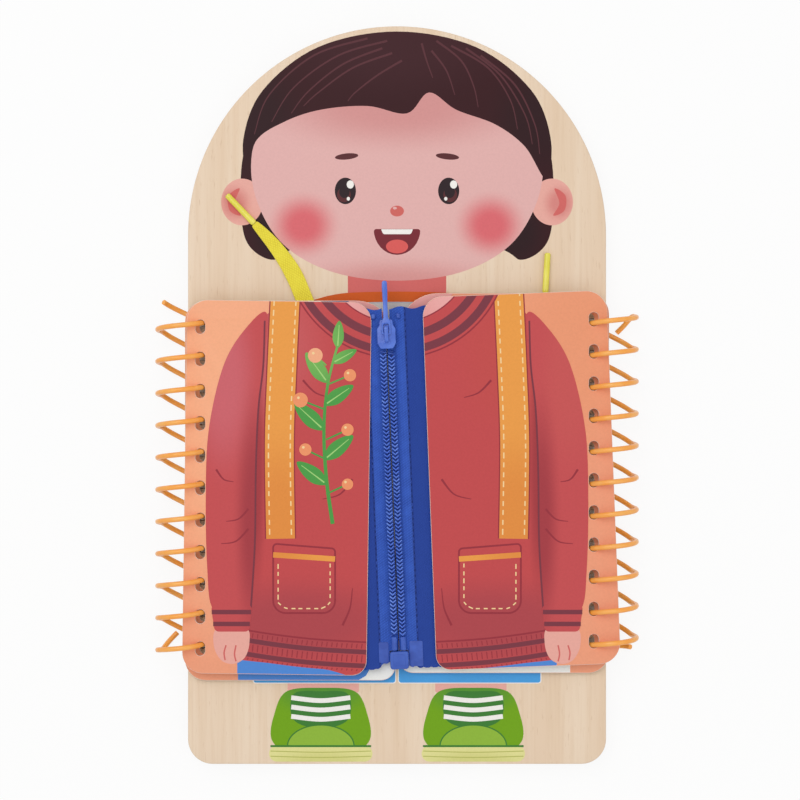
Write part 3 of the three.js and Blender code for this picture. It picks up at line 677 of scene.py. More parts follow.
def steadyClimb(share, ramp=0.15):
    # From 0 to 1 at one speed, with a soft start and end
    speed = 1 / (1 - ramp)
    if share < ramp:
        return speed * share ** 2 / (2 * ramp)
    return 1 - speed * (1 - share) ** 2 / (2 * ramp) if share > 1 - ramp else speed * (share - ramp / 2)


# The wire climbs little where the leaves travel along it, and most of its pitch behind the board
def wireAdvance(angle, startReturn):
    backStart = angleAt(coil["leafMiddleZ"]) + math.radians(coil["travelDegrees"])
    backEnd = fullTurn + angleAt(coil["boardBottom"])
    slope = coil["holeSlack"] / math.radians(coil["travelDegrees"])
    turnsDone = math.floor((angle - backStart) / fullTurn)
    share = min((angle - backStart - turnsDone * fullTurn) / (backEnd - backStart), 1)
    climbed = steadyClimb(share)
    advance = slope * angle + (coil["pitch"] - fullTurn * slope) * (turnsDone + climbed)
    if turnsDone < 0:
        advance += startReturn * (1 - climbed)
    if turnsDone == coil["holes"] - 1:
        advance -= coil["endReturn"] * climbed
    return advance


def coilPoint(angle, startReturn=0.0):
    advance = wireAdvance(angle, startReturn) - wireAdvance(angleAt(coil["leafMiddleZ"]), startReturn)
    firstHoleY = (coil["holes"] - 1) * coil["pitch"] / 2
    return (coil["radius"] * math.cos(angle), firstHoleY + coil["holeSlack"] / 2 - advance,
            coil["axisZ"] + coil["radius"] * math.sin(angle))


def bindingCoil(side, name, middleY, startReturn):
    start = math.radians(coil["startDegrees"]) - fullTurn
    end = math.radians(coil["endDegrees"]) + (coil["holes"] - 1) * fullTurn
    steps = round((end - start) / fullTurn * coil["stepsPerTurn"])
    points = [coilPoint(start + (end - start) * i / steps, startReturn) for i in range(steps + 1)]
    # The left coil stands as it is, and the right one is turned half round
    placed = [(side * (coil["axisX"] - x), middleY - side * y, z) for x, y, z in points]
    bm = tube(placed, coil["wireDiameter"] / 2, coil["sides"])
    for vert in bm.verts:
        vert.co.z = max(vert.co.z, 0)  # The wire lies on the floor by a small flat
    dress(finishMesh(bm, name + "Coil", 50), "board", [coilWireMaterial],
          [name + "_binding_coil"])


bindingCoil(-1, "left", coil["leftMiddleY"], coil["leftStartReturn"])
bindingCoil(1, "right", coil["rightMiddleY"], coil["rightStartReturn"])
print("coils ready")


# The board

board = {"halfWidth": 85.0, "halfLength": 150.0, "bottom": 4.2, "thickness": 5.0, "cornerRadius": 10.0,
         "holeDiameter": 6.0, "laceHoleDiameter": 7.0, "edgeRounding": 0.6, "holeShadeReach": 4.5,
         "wallSlope": 0.6}


def boardHoles():
    top = board["bottom"] + board["thickness"]
    x = coil["axisX"] - (reachAt(board["bottom"]) + reachAt(top)) / 2
    holes = []
    for i in range(coil["holes"]):
        y = coilPoint(angleAt(board["bottom"] + board["thickness"] / 2) + i * fullTurn)[1]
        holes.append(oval(-x, coil["leftMiddleY"] + y, board["holeDiameter"], steps=28))
        holes.append(oval(x, coil["rightMiddleY"] - y, board["holeDiameter"], steps=28))
    return holes


laceHolePlaces = [(x, y) for x in (-lace["holeX"], lace["holeX"])
                  for y in (lace["upperHoleY"], lace["lowerHoleY"])]
laceHoles = [oval(x, y, board["laceHoleDiameter"], steps=32) for x, y in laceHolePlaces]


def boardOutline(inset=0.0):
    half, length, corner = board["halfWidth"] - inset, board["halfLength"], board["cornerRadius"] - inset
    foot = rounded([(half, length - board["halfWidth"], 0), (-half, length - board["halfWidth"], 0),
                    (-half, -length + inset, corner), (half, -length + inset, corner)], 10)
    return foot[2:] + oval(0, length - board["halfWidth"], 2 * half, steps=96, end=math.pi)


boardBody = finishMesh(slab([boardOutline(), *boardHoles(), *laceHoles], board["bottom"], board["thickness"],
                            board["edgeRounding"]), "birchBoard", 40)
dress(boardBody, "board", [birchMaterial, holeShadeMaterial], ["base_board"])
holeMiddles = [Vector((sum(x for x, y in hole), sum(y for x, y in hole))) / len(hole) * mm
               for hole in [*boardHoles(), *laceHoles]]
for face in boardBody.data.polygons:
    near = min((face.center.xy - middle).length for middle in holeMiddles) < board["holeShadeReach"] * mm
    if near and abs(face.normal.z) < board["wallSlope"]:
        face.material_index = 1  # The walls of the holes are painted dark: painted shade
print("board ready")


# The leaves

frontLeaf = {"bottom": 15.25, "thickness": 0.9, "length": 150.8, "drop": 0.0, "outerRadius": 8.5,
             "topRadius": 8.0, "footRadius": 6.0, "slot": "front_card"}
secondLeaf = {"inset": 0.6, "margin": 8.06, "bottom": 10.9, "thickness": 0.8, "length": 154.0, "drop": 1.3,
              "shift": 0.0, "outerRadius": 8.5, "topRadius": 16.0, "footRadius": 6.0, "slot": "shirt_card"}
leaves = {
    "frontLeft": {**frontLeaf, "side": -1, "inset": 11.3, "margin": 6.34, "shift": -1.05,
                  "body": "left_front_leaf", "node": "front_left_leaf"},
    "frontRight": {**frontLeaf, "side": 1, "inset": 13.0, "margin": 8.03, "shift": 2.9,
                   "body": "right_front_leaf", "node": "front_right_leaf"},
    "secondLeft": {**secondLeaf, "side": -1, "body": "left_second_leaf", "node": "second_left_leaf"},
    "secondRight": {**secondLeaf, "side": 1, "body": "right_second_leaf", "node": "second_right_leaf"}}
leafHole = {"width": 4.0, "length": 5.8, "rounding": 0.2}


def leafMiddleY(leaf):
    return coil["leftMiddleY"] if leaf["side"] < 0 else coil["rightMiddleY"]


def leafOutline(leaf, cut=0.0):
    side, height = leaf["side"], leaf["bottom"] + leaf["thickness"] / 2
    outer = coil["axisX"] - reachAt(height) + leaf["margin"] - cut
    inner, half = leaf["inset"] + cut, leaf["length"] / 2 - cut
    middleX, middleY = side * (inner + outer) / 2, leafMiddleY(leaf) - leaf["drop"]
    corners = [(side * x, middleY + y, leaf[corner] - cut)
               for x, y, corner in ((inner, -half, "footRadius"), (outer, -half, "outerRadius"),
                                    (outer, half, "outerRadius"), (inner, half, "topRadius"))]
    lean = math.atan2(leaf["shift"], leaf["length"] / 2)
    return turned(rounded(corners if side > 0 else corners[::-1], 10), lean, middleX, middleY)


def slotOutline(x, y):
    reach, width = (leafHole["length"] - leafHole["width"]) / 2, leafHole["width"]
    return (oval(x, y + reach, width, steps=14, end=math.pi)
            + oval(x, y - reach, width, steps=14, start=math.pi))


def leafHoles(leaf):
    height = leaf["bottom"] + leaf["thickness"] / 2
    x = leaf["side"] * (coil["axisX"] - reachAt(height))
    rows = [coilPoint(angleAt(height) + i * fullTurn)[1] - coil["holeSlack"] / 2
            for i in range(coil["holes"])]
    return [slotOutline(x, leafMiddleY(leaf) - leaf["side"] * y) for y in rows]


peachInk = printedInk("peachMarginInk", "#F5A481", [(70, 20, 40, 60, "#F29C72", 0.6),
                                                    (-70, -10, 50, 110, "#FFB68C", 0.9)])
for name, leaf in leaves.items():
    card = finishMesh(slab([leafOutline(leaf), *leafHoles(leaf)], leaf["bottom"], leaf["thickness"],
                           leafHole["rounding"]), name + "Leaf", 40)
    dress(card, leaf["body"], [peachInk, coreMaterial], [leaf["node"]])
    for face in card.data.polygons:  # Print on the face, white core on the edge and the back
        face.material_index = 0 if face.normal.z > 0.9 else 1
print("leaves ready")


# The prints: flat patches of ink, each a level higher than what it covers

printing = {"levelHeight": 0.012, "sink": 0.004, "edgeMargin": 0.2}


def printOn(name, body, top, edge, patches):
    # Each patch has its level, its ink and its outlines, and is cut off at the edge of what carries it
    bm = bmesh.new()
    used = []
    for level, ink, outlines in patches:
        if ink not in used:
            used.append(ink)
        patch = flatShape(outlines)
        for (x0, y0), (x1, y1) in zip(edge, edge[1:] + edge[:1]):
            spot, outward = Vector((x0, y0, 0)) * mm, Vector((y1 - y0, x0 - x1, 0))
            if any((vert.co - spot).dot(outward) > 0 for vert in patch.verts):
                bmesh.ops.bisect_plane(patch, geom=patch.verts[:] + patch.edges[:] + patch.faces[:],
                                       plane_co=spot, plane_no=outward, clear_outer=True)
        raised = bmesh.ops.extrude_face_region(patch, geom=patch.faces[:])["geom"]
        height = printing["sink"] + (level + 1) * printing["levelHeight"]
        bmesh.ops.translate(patch, vec=(0, 0, (top - printing["sink"]) * mm), verts=patch.verts)
        bmesh.ops.translate(patch, vec=(0, 0, height * mm),
                            verts=[part for part in raised if isinstance(part, bmesh.types.BMVert)])
        bmesh.ops.recalc_face_normals(patch, faces=patch.faces)
        for face in patch.faces:
            face.material_index = used.index(ink)
        join(bm, patch)
    return dress(finishMesh(bm, name), body, used)


def onSide(side, patches):
    # Patches are written for the right side, and the left side has them mirrored
    return patches if side > 0 else [(level, ink, [mirrored(outline) for outline in outlines])
                                     for level, ink, outlines in patches]


def bothSides(level, ink, outline):
    return [patch for side in (1, -1) for patch in onSide(side, [(level, ink, [outline])])]


def spotPair(x, y, width, height, colour, strength):
    return [(side * x, y, width, height, colour, strength) for side in (-1, 1)]


def openLine(*points):
    return smooth(points, closed=False)


hairInk = printedInk("hairInk", "#340C13", [(0, 146, 60, 30, "#4B262D", 0.35),
                                            *spotPair(48, 66, 16, 20, "#220D12", 0.8),
                                            *spotPair(58, 112, 24, 30, "#220D12", 0.6)])
strandInk = printedInk("hairStrandInk", "#5A2F35")
faceInk = printedInk("faceInk", "#E9B7B3", [(0, 118, 66, 22, "#D58C8A", 0.75),
                                            (0, 44, 52, 14, "#D88A85", 0.7),
                                            *spotPair(38, 69, 16, 15, "#E0686F", 0.95)])
skinInk = printedInk("skinInk", "#EFB0A4", spotPair(66, 78, 8, 9, "#D9807B", 0.8))
skinShadeInk = printedInk("shadedSkinInk", "#D86B67")
blackInk = printedInk("eyeInk", "#2A1B20")
browInk = printedInk("browInk", "#5A2B2E")
whiteInk = printedInk("whiteInk", "#FBF8F2")
noseInk = printedInk("noseInk", "#D66A63")
mouthInk = printedInk("mouthInk", "#7A2A33")
tongueInk = printedInk("tongueInk", "#E0605C")
armLineInk = printedInk("armLineInk", "#D98D82")
neckbandInk = printedInk("neckbandInk", "#D25C1C")
# The top of the undershirt, which shows between the leaves, is painted darker and warmer, a painted shade;
# lower down it is drawn paler
greyInk = printedInk("undershirtInk", "#D9DBDD", [(0, 38, 50, 9, "#CFC4BE", 0.9),
                                                  (0, -40, 60, 70, "#ECEDEC", 0.7)])
seamInk = printedInk("seamLineInk", "#B4BAC4")
eyeletInk = printedInk("eyeletRingInk", "#F0B04E")
starInk = printedInk("starInk", "#F4C84F", [(0, -54, 10, 10, "#FADB7C", 0.7)])
shortsInk = printedInk("shortsInk", "#5C8FD0", [(0, -104, 16, 60, "#3B66A8", 0.8)])
waistInk = printedInk("blueHemInk", "#4FA6E8")
sneakerInk = printedInk("sneakerInk", "#75A817", spotPair(31, -120, 24, 12, "#4E9238", 0.8))
sneakerShadeInk = printedInk("sneakerShadeInk", "#3F7F35")
toeInk = printedInk("toeCapInk", "#93BC3E")
soleLineInk = printedInk("soleLineInk", "#B9BB62")
soleInk = printedInk("soleInk", "#E8E49A", spotPair(31, -149, 24, 6, "#D8D684", 0.8))

# Head
hairBack = smooth(bothHalves([(0, 147.5), (30, 142), (52, 124), (62, 100), (63.5, 78), (61, 62), (51, 55),
                              (41, 60), (0, 75)]))
face = smooth(bothHalves([(0, 46.5), (26, 50), (46, 61), (57, 79), (59, 98), (52, 118), (30, 131), (0, 134)]))
fringe = smooth([(-60.5, 88), (-57.5, 103), (-46, 111), (-31, 116), (-12, 117.5), (4, 114.5), (13, 123),
                 (24, 116), (40, 110), (52, 101), (60.5, 88), (62.5, 104), (54.5, 124), (32, 141.5),
                 (0, 147.8), (-32, 141.5), (-54.5, 124), (-62.5, 104)])
strands = [[(-4, 144), (-24, 138), (-42, 125), (-51, 111)], [(-2, 139), (-18, 133), (-32, 123), (-38, 117.5)],
           [(2, 136), (-8, 130), (-17, 123), (-20, 119.5)], [(10, 143), (12, 136), (14.5, 129)],
           [(16, 144), (26, 136), (31, 126), (33, 117)], [(22, 142), (37, 133), (46, 120), (49, 108)],
           [(34, 138), (48, 126), (56, 110), (58, 98)], [(-12, 145), (-34, 138), (-52, 122), (-58, 106)],
           [(-6, 141), (-22, 134.5), (-36, 123.5), (-43, 114.5)], [(14, 140), (20, 132), (23.5, 122)],
           [(28, 141), (42, 130), (52, 114), (55, 102)]]
mouth = rounded([(-9.5, 67.5, 1), *[(*spot, 0) for spot in oval(0, 67.5, 19, 21, 16, math.pi)[1:-1]],
                 (9.5, 67.5, 1)])
teeth = rounded([(-5.6, 65.4, 0.9), (5.6, 65.4, 0.9), (6.5, 67.4, 0.2), (-6.5, 67.4, 0.2)])
earFold = smooth([(64, 84), (68.5, 81), (68, 75), (63.5, 73), (66, 78)])

# Body
undershirt = smooth(bothHalves([(0, 41.4), (18, 41), (36, 38), (58, 30), (61, 8), (62, -40), (66, -98),
                                (0, -101)]), steps=10)
shortSleeve = smooth([(50, 34), (60, 28), (70, 14), (76, -2), (76.5, -9), (68, -11), (60, -8), (57, 10)])
sleeveHem = openLine((61.5, -6), (68, -9), (75.5, -8))
arm = smooth([(61, -4), (75, -4), (75.5, -30), (73, -60), (73, -74), (75, -84), (71, -92), (64, -93),
              (60.5, -84), (61.5, -70), (60, -40)])
armLine = openLine((61, -10), (60, -40), (61.5, -70))
armhole = openLine((51, 33), (55, 20), (57.5, 4), (60, -8))
neckLine = openLine((-34, 36.4), (-27, 38.4), (-18, 39.6), (0, 40), (18, 39.6), (27, 38.4), (34, 36.4))
undershirtFolds = [[(54, -2), (47, -6), (40, -6)], [(-54, -2), (-47, -6), (-40, -6)],
                   [(56, -66), (50, -74), (47, -84)], [(-56, -66), (-50, -74), (-47, -84)],
                   [(60, -58), (58.8, -66), (58.8, -76)]]
shorts = [(-68, -97), (68, -97), (64, -110), (4, -110), (0, -106), (-4, -110), (-64, -110)]


def starOutline(x, y, outer, inner, points=5):
    spokes = [((outer, inner)[i % 2], math.pi * i / points) for i in range(2 * points)]
    return [(x + radius * math.sin(angle), y + radius * math.cos(angle)) for radius, angle in spokes][::-1]


# Shoes: the left one, which is printed again mirrored
shoeX = -31
sneakerUpper = smooth([(-45, -120.5), (-31, -119), (-17, -120.5), (-12, -130), (-11, -140), (-18, -145.5),
                       (-31, -147), (-44, -145.5), (-51, -140), (-50, -130)])
toeCap = oval(shoeX, -142.6, 27, 17, end=math.pi)
tongue = smooth([(-42, -121.5), (-31, -120.4), (-20, -121.5), (-20, -132), (-31, -135.5), (-42, -132)])


def acrossShoe(y, half, rise, sag):
    return openLine((shoeX - half, y + rise), (shoeX, y - sag), (shoeX + half, y + rise))


headPatches = [
    (0, hairInk, [hairBack]),
    *bothSides(1, skinInk, oval(63, 78.5, 17, 19)),
    *bothSides(2, skinShadeInk, earFold),
    (1, skinShadeInk, [box(-20, 20, 39, 58, 0.5)])]
bodyPatches = [
    *bothSides(1, skinInk, arm),
    *bothSides(2, armLineInk, ribbon(armLine, 0.6)),
    *bothSides(3, greyInk, shortSleeve),
    *bothSides(4, seamInk, ribbon(sleeveHem, 0.6)),
    (0, greyInk, [undershirt, *laceHoles]),
    *bothSides(5, seamInk, ribbon(armhole, 0.5)),
    (2, neckbandInk, [ribbon(neckLine, 4.2)]),
    (3, seamInk, [ribbon([(x, y - 2.4) for x, y in neckLine], 0.4)]),
    *[(1, eyeletInk, [oval(x, y, board["laceHoleDiameter"] + 3.2, steps=40), hole])
      for (x, y), hole in zip(laceHolePlaces, laceHoles)],
    *[(1, seamInk, [ribbon([(-60, y), (60, y)], 0.5)]) for y in (-93, -95)],
    *[(1, seamInk, [ribbon(openLine(*fold), 1.1, 0.3)]) for fold in undershirtFolds],
    (1, starInk, [starOutline(0, -58, 17, 8.2)])]
legPatches = [
    *bothSides(0, skinInk, box(15.5, 44.5, -121, -112, 1)),
    (2, shortsInk, [shorts]),
    *bothSides(3, whiteInk, box(0.35, 58.7, -117.2, -108, 1.2)),
    *bothSides(4, waistInk, box(0.75, 58.3, -116.9, -108, 1)),
    *[patch for x in (20, 40) for patch in bothSides(3, seamInk, ribbon([(x, -99), (x + 1, -107.6)], 0.5))]]
shoePatches = [
    *bothSides(1, sneakerInk, sneakerUpper),
    *bothSides(2, soleInk, box(-52, -10, -149, -142.5, 3.2)),
    *bothSides(5, sneakerShadeInk, box(-51.5, -10.5, -143.1, -142.3, 0.3)),
    *[patch for y in (-144.9, -147)
      for patch in bothSides(3, soleLineInk, ribbon(acrossShoe(y, 20.4, 0.2, 0.3), 0.35))],
    *bothSides(4, sneakerShadeInk, ribbon(toeCap, 0.5)),
    *bothSides(3, toeInk, toeCap),
    *bothSides(2, sneakerShadeInk, tongue),
    *[patch for y in (-123.6, -127.4, -131.2)
      for patch in bothSides(4, whiteInk, ribbon(acrossShoe(y, 12, 0.6, 0.6), 1.9))]]
facePatches = [
    (3, faceInk, [face]),
    (4, hairInk, [fringe]),
    *[(5, strandInk, [ribbon(openLine(*strand), 0.9, 0.35)]) for strand in strands],
    *bothSides(4, blackInk, oval(21, 83, 8.6, 10.8)),
    *bothSides(5, browInk, oval(21.6, 81.4, 5.6, 6)),
    *bothSides(6, blackInk, oval(21.4, 82.6, 4.2, 5)),
    *[(7, whiteInk, [oval(x, 85.6, 2.9, 3.3)]) for x in (23, -19)],
    *bothSides(7, whiteInk, oval(19.8, 79.8, 1.3, 1.5)),
    *bothSides(4, browInk, turned(oval(20.5, 97, 9.5, 2.5), -0.1, 20.5, 97)),
    (4, noseInk, [oval(0, 74.8, 5.6, 4.4)]),
    (5, faceInk, [oval(-0.9, 76, 1.6, 1.1)]),
    (4, mouthInk, [mouth]),
    (5, tongueInk, [oval(0, 60.4, 9, 5.6)]),
    (5, whiteInk, [teeth])]
printOn("boardPrint", "board", board["bottom"] + board["thickness"],
        boardOutline(printing["edgeMargin"]),
        headPatches + bodyPatches + legPatches + shoePatches + facePatches)
print("board print ready")


# The jacket on the front leaves

# Most spots are the print's airbrushed shading; the lighter, pinker spots on the left leaf's jacket and
# sleeve are a painted sheen
jacketInk = printedInk("jacketInk", "#C84E50", [(-56, 20, 34, 40, "#D0666A", 0.7),
                                                (48, 18, 30, 40, "#C8514C", 0.6),
                                                *spotPair(40, -92, 60, 22, "#A8464E", 0.7),
                                                *spotPair(57, -30, 5, 60, "#8E2F39", 0.6)])
sleeveInk = printedInk("sleeveInk", "#CA5255", [(-70, 6, 16, 46, "#D5707A", 0.65),
                                                (70, 6, 16, 46, "#CF5C5A", 0.6),
                                                *spotPair(58, -50, 9, 60, "#98343F", 0.7)])
maroonInk = printedInk("maroonInk", "#7D3A46")
foldInk = printedInk("foldLineInk", "#9A3540")
pipingInk = printedInk("pipingInk", "#F2A24C", spotPair(48, -50, 20, 40, "#E0803A", 0.5))
stitchInk = printedInk("stitchInk", "#FBD9A0")
paleNeckInk = printedInk("paleNeckInk", "#F2AFAB", [(0, 24, 24, 26, "#E58F8C", 0.7)])
jeansInk = printedInk("jeansInk", "#528CDA")
sprigInk = printedInk("sprigInk", "#4FA04A", [(-32, 20, 20, 24, "#86C262", 0.7)])
veinInk = printedInk("leafVeinInk", "#A8D780")
berryInk = printedInk("berryInk", "#F59A6B", [(-32, 14, 10, 20, "#FBC09A", 0.6)])
mittInk = printedInk("handInk", "#F0AFA2")
neck = {"y": 60, "steps": 72, "jacketRadius": 31, "shirtRadius": 29.5, "collarRadius": 38}


def neckDisc(radius):
    return oval(0, neck["y"], 2 * radius, steps=neck["steps"])


def collarArc(radius, width):
    line = [(radius * math.sin(a), neck["y"] - radius * math.cos(a))
            for a in [math.radians(-88 + 176 * i / 60) for i in range(61)]]
    return ribbon(line, width)


def dashes(points, count, width, gapShare=0.45):
    # Short stitches along a line
    line, length = evenly(points, 0.4)
    marks = []
    for i in range(count):
        ends = [line[min(round(share * (len(line) - 1)), len(line) - 1)]
                for share in (i / count, (i + 1 - gapShare) / count)]
        marks.append(ribbon([tuple(end[:2]) for end in ends], width))
    return marks


def hemLine(drop):
    return openLine((72, -97.4 - drop), (50, -101 - drop), (30, -103.2 - drop), (0, -104.8 - drop))


jacketBody = smooth([(0, 46), (20, 42), (40, 38), (56, 30), (66, 14), (68, -20), (68, -60), (70.5, -86),
                     (71.5, -96), (70.5, -105), (50, -108.4), (30, -110.6), (0, -112.2), (-20, -60)],
                    steps=10)
sleeve = smooth([(52.5, 33), (61, 27), (70, 12), (76, -14), (77.2, -42), (76.6, -70), (74.5, -86), (66, -88),
                 (59.4, -86.4), (57.4, -60), (57, -30), (56, -6), (54, 12)], steps=10)
sleeveSeam = openLine((53.4, 30), (54, 12), (56, -6), (57, -30), (57.4, -60), (59, -86))
cuff = rounded([(59.6, -95.5, 2), (73.6, -95.5, 2), (75.2, -84.5, 2), (58.4, -84.5, 2)])
hand = smooth([(61, -94), (72.5, -94), (74, -101), (71, -107), (66, -108.5), (61.5, -106), (59.6, -100)])
fingers = [[(65, -101), (65.6, -104.5), (65, -107.5)], [(69, -101), (69.8, -104), (69.4, -107)]]
pocket = rounded([(25, -88, 5), (50, -88, 5), (50, -60, 1.5), (25, -62, 1.5)])
pocketStitch = [(27, -68), (27, -84), (30, -86.2), (45, -86.2), (48, -84), (48, -67)]
strap = openLine((45, 42), (46.5, 10), (47.5, -20), (47, -58))
bodyFolds = [[(22, -93), (19, -86), (18, -78)], [(38, 6), (33, 1), (27, -1)],
             [(18, -34), (23, -40), (30, -42)]]
sleeveFolds = [[(60, -46), (64, -50), (69, -51)], [(60, -54), (65, -59), (71, -60)],
               [(73, -30), (70, -34), (66, -35)]]
ribPlaces = evenly([(*spot, 0) for spot in hemLine(0)], 2.0)[0]
ribSpans = [(3.6, 1.8), (-1.0, -3.8), (-6.6, -7.4)]  # Above, between and below the two dark stripes

jacketPatches = [
    (0, jeansInk, [[(0, -106), (64.5, -106), (64.5, -113.4), (0, -113.4)]]),
    (1, jacketInk, [jacketBody]),
    (2, foldInk, [ribbon(strap, 12.6)]),
    (3, pipingInk, [ribbon(strap, 11.6)]),
    (2, paleNeckInk, [neckDisc(neck["jacketRadius"])]),
    (5, jacketInk, [collarArc(37.6, 14.2)]),
    (6, maroonInk, [collarArc(36.2, 3.3)]),
    (6, maroonInk, [collarArc(42.2, 3.2)]),
    (6, foldInk, [collarArc(45, 0.6)]),
    (6, foldInk, [collarArc(30.7, 0.5)]),
    (2, foldInk, [ribbon(hemLine(-4.4), 0.7)]),
    (3, maroonInk, [ribbon(hemLine(-0.4), 1.9)]),
    (3, maroonInk, [ribbon(hemLine(5.2), 1.9)]),
    (4, foldInk, [ribbon(pocket + pocket[:1], 0.7)]),
    (5, pipingInk, [ribbon([(50, -64.5), (25, -66.2)], 2.2)]),
    (6, sleeveInk, [sleeve]),
    (7, maroonInk, [ribbon(sleeveSeam, 0.7)]),
    (7, mittInk, [hand]),
    (8, sleeveInk, [cuff]),
    (9, maroonInk, [ribbon([(58.9, -87.6), (74.8, -87.6)], 1.8)]),
    (9, maroonInk, [ribbon([(59.4, -92.4), (74.2, -92.4)], 1.8)]),
    *[(8, skinShadeInk, [ribbon(openLine(*finger), 0.6)]) for finger in fingers],
    *[(4, stitchInk, [mark]) for offset in (-4.4, 4.4)
      for mark in dashes([(x + offset, y) for x, y in strap], 26, 0.55)],
    *[(5, stitchInk, [mark]) for mark in dashes(pocketStitch, 18, 0.5)],
    *[(5, foldInk, [ribbon(openLine(*fold), 0.9, 0.3)]) for fold in bodyFolds],
    *[(7, foldInk, [ribbon(openLine(*fold), 0.9, 0.3)]) for fold in sleeveFolds],
    *[(4, foldInk, [ribbon([(rib.x, rib.y + start), (rib.x + 0.3, rib.y + end)], 0.35)])
      for rib in ribPlaces for start, end in ribSpans]]


def leafOnStem(x, y, angle, length):
    shares = [(0, 0), (0.3, 0.2), (0.7, 0.17), (1, 0), (0.7, -0.16), (0.3, -0.19)]
    outline = smooth([(x + length * along, y + length * across) for along, across in shares])
    return turned(outline, angle, x, y)


def veinOnLeaf(x, y, angle, length):
    return turned(ribbon([(x + length * 0.08, y), (x + length * 0.85, y)], 0.6, 0.4), angle, x, y)


stem = openLine((-26, -52), (-28.5, -34), (-29.5, -14), (-28, 4), (-24, 20))
sprigLeaves = [(-28.4, -36, 2.5, 15), (-29.2, -26, 0.7, 15), (-29.6, -14, 2.4, 16), (-29.2, -4, 0.6, 14),
               (-28, 5, 2.2, 15), (-26, 13, 0.5, 11), (-24, 19, 1.5, 11)]
berries = [(-37, -22, 5), (-20, -14, 5), (-39, -2, 6), (-19, 8, 5), (-33, 16, 6), (-20, -36, 4.6)]
sprigPatches = [
    (7, sprigInk, [ribbon(stem, 1.6, 0.6)]),
    *[(6, sprigInk, [ribbon([(-28.6, y - 4), (x, y)], 0.7)]) for x, y, size in berries],
    *[(8, sprigInk, [leafOnStem(*leaf)]) for leaf in sprigLeaves],
    *[(9, veinInk, [veinOnLeaf(*leaf)]) for leaf in sprigLeaves],
    *[(10, berryInk, [oval(x, y, size, steps=24)]) for x, y, size in berries],
    *[(11, stitchInk, [oval(x - 0.8, y + 0.9, 1.1, steps=12)]) for x, y, size in berries]]


def printLeaf(name, patches):
    leaf = leaves[name]
    printOn(name + "Print", leaf["body"], leaf["bottom"] + leaf["thickness"],
            leafOutline(leaf, printing["edgeMargin"]), patches)


printLeaf("frontLeft", onSide(-1, jacketPatches) + sprigPatches)
printLeaf("frontRight", jacketPatches)
print("front prints ready")


# The shirt on the second leaves

shirtInk = printedInk("shirtInk", "#EEF1F4", spotPair(40, -40, 50, 90, "#DDE4EC", 0.6))
stripeInk = printedInk("shirtStripeInk", "#7FB2DE")
navyInk = printedInk("navyInk", "#2C4A8C")
hemInk = printedInk("shirtHemInk", "#F7F7F3")
shirt = {"topStripe": 16, "stripePitch": 8, "stripeHeight": 3.4, "stripes": 15, "stripeEnd": 69,
         "hemTop": -104.8, "hemEnd": 70.2, "leftFoot": -110.2, "rightFoot": -112.6, "placket": 8.5}
shirtBody = smooth([(0, 44), (22, 40), (40, 37), (56, 28), (68, 8), (71, -10), (70.5, -40), (70, -80),
                    (70, -107), (0, -107), (-20, -60)], steps=10)
shirtCorner = [(0, -107), (10.3, -107), (10.7, -110.5), (12.6, -113.8), (17, -116.4), (18, -117.2),
               (0, -117.2)]


def shirtPatches(foot):
    hem = shirt["hemTop"]
    stripeTops = [shirt["topStripe"] - shirt["stripePitch"] * i for i in range(shirt["stripes"])]
    return [(0, jeansInk, [[(0, -108), (64.5, -108), (64.5, -117.2), (0, -117.2)]]),
            (1, shirtInk, [shirtBody]),
            *[(2, stripeInk, [box(0, shirt["stripeEnd"], y - shirt["stripeHeight"], y)]) for y in stripeTops],
            (3, hemInk, [box(0, shirt["hemEnd"], foot, hem)]),
            (4, shirtInk, [ribbon([(70, -106), (0, -106)], 0.4)]),
            (3, hemInk, [box(0, shirt["placket"], hem, 44)]),
            (4, stripeInk, [ribbon([(8.3, 21), (8.3, -104.4)], 0.4)]),
            (5, paleNeckInk, [neckDisc(neck["shirtRadius"])])]


printLeaf("secondLeft", onSide(-1, [*shirtPatches(shirt["leftFoot"]),
                                    (4, navyInk, [neckDisc(neck["collarRadius"])]),
                                    (5, hemInk, [shirtCorner])]))
printLeaf("secondRight", shirtPatches(shirt["rightFoot"]))
print("second prints ready")


# The buttons and their elastic loops

shirtButton = {"count": 4, "x": 17.0, "topY": 15.0, "pitch": 33.0, "bottom": 12.0, "thickness": 2.0,
               "diameter": 14.0, "rimWidth": 1.7, "dish": 0.7, "holeDiameter": 1.8, "holeReach": 1.7,
               "threadRadius": 0.32, "threadReach": 0.98, "threadApart": 0.3}
shirtLoop = {"x": -9.0, "diameter": 1.4, "reach": 15.0, "width": 6.4, "pressedLength": 2.4, "pressed": 0.35,
             "sunk": 0.2, "tacks": 9, "tackPitch": 0.2, "tackRadius": 0.11}


def repeated(bm, offsets):
    # Copies of one shape at offsets in millimetres
    mesh = bpy.data.meshes.new("repeated")
    bm.to_mesh(mesh)
    bm.free()
    row = bmesh.new()
    for offset in offsets:
        before = len(row.verts)
        row.from_mesh(mesh)
        row.verts.ensure_lookup_table()
        bmesh.ops.translate(row, vec=Vector(offset) * mm, verts=row.verts[before:])
    bpy.data.meshes.remove(mesh)
    return row


def buttonRim(values):
    outer, height = values["diameter"] / 2, values["thickness"]
    inner = outer - values["rimWidth"]
    section = rounded([(inner, 0, 0.3), (outer, 0, 0.7), (outer, height, 0.7), (inner, height, 0.6)], 5)
    bm = bmesh.new()
    verts = [bm.verts.new((x * mm, 0, z * mm)) for x, z in section]
    edges = [bm.edges.new((a, b)) for a, b in zip(verts, verts[1:] + verts[:1])]
    bmesh.ops.spin(bm, geom=verts + edges, cent=(0, 0, 0), axis=(0, 0, 1), angle=fullTurn, steps=56,
                   use_merge=True)
    bmesh.ops.remove_doubles(bm, verts=bm.verts, dist=weldDistance)
    bmesh.ops.recalc_face_normals(bm, faces=bm.faces)
    return bm


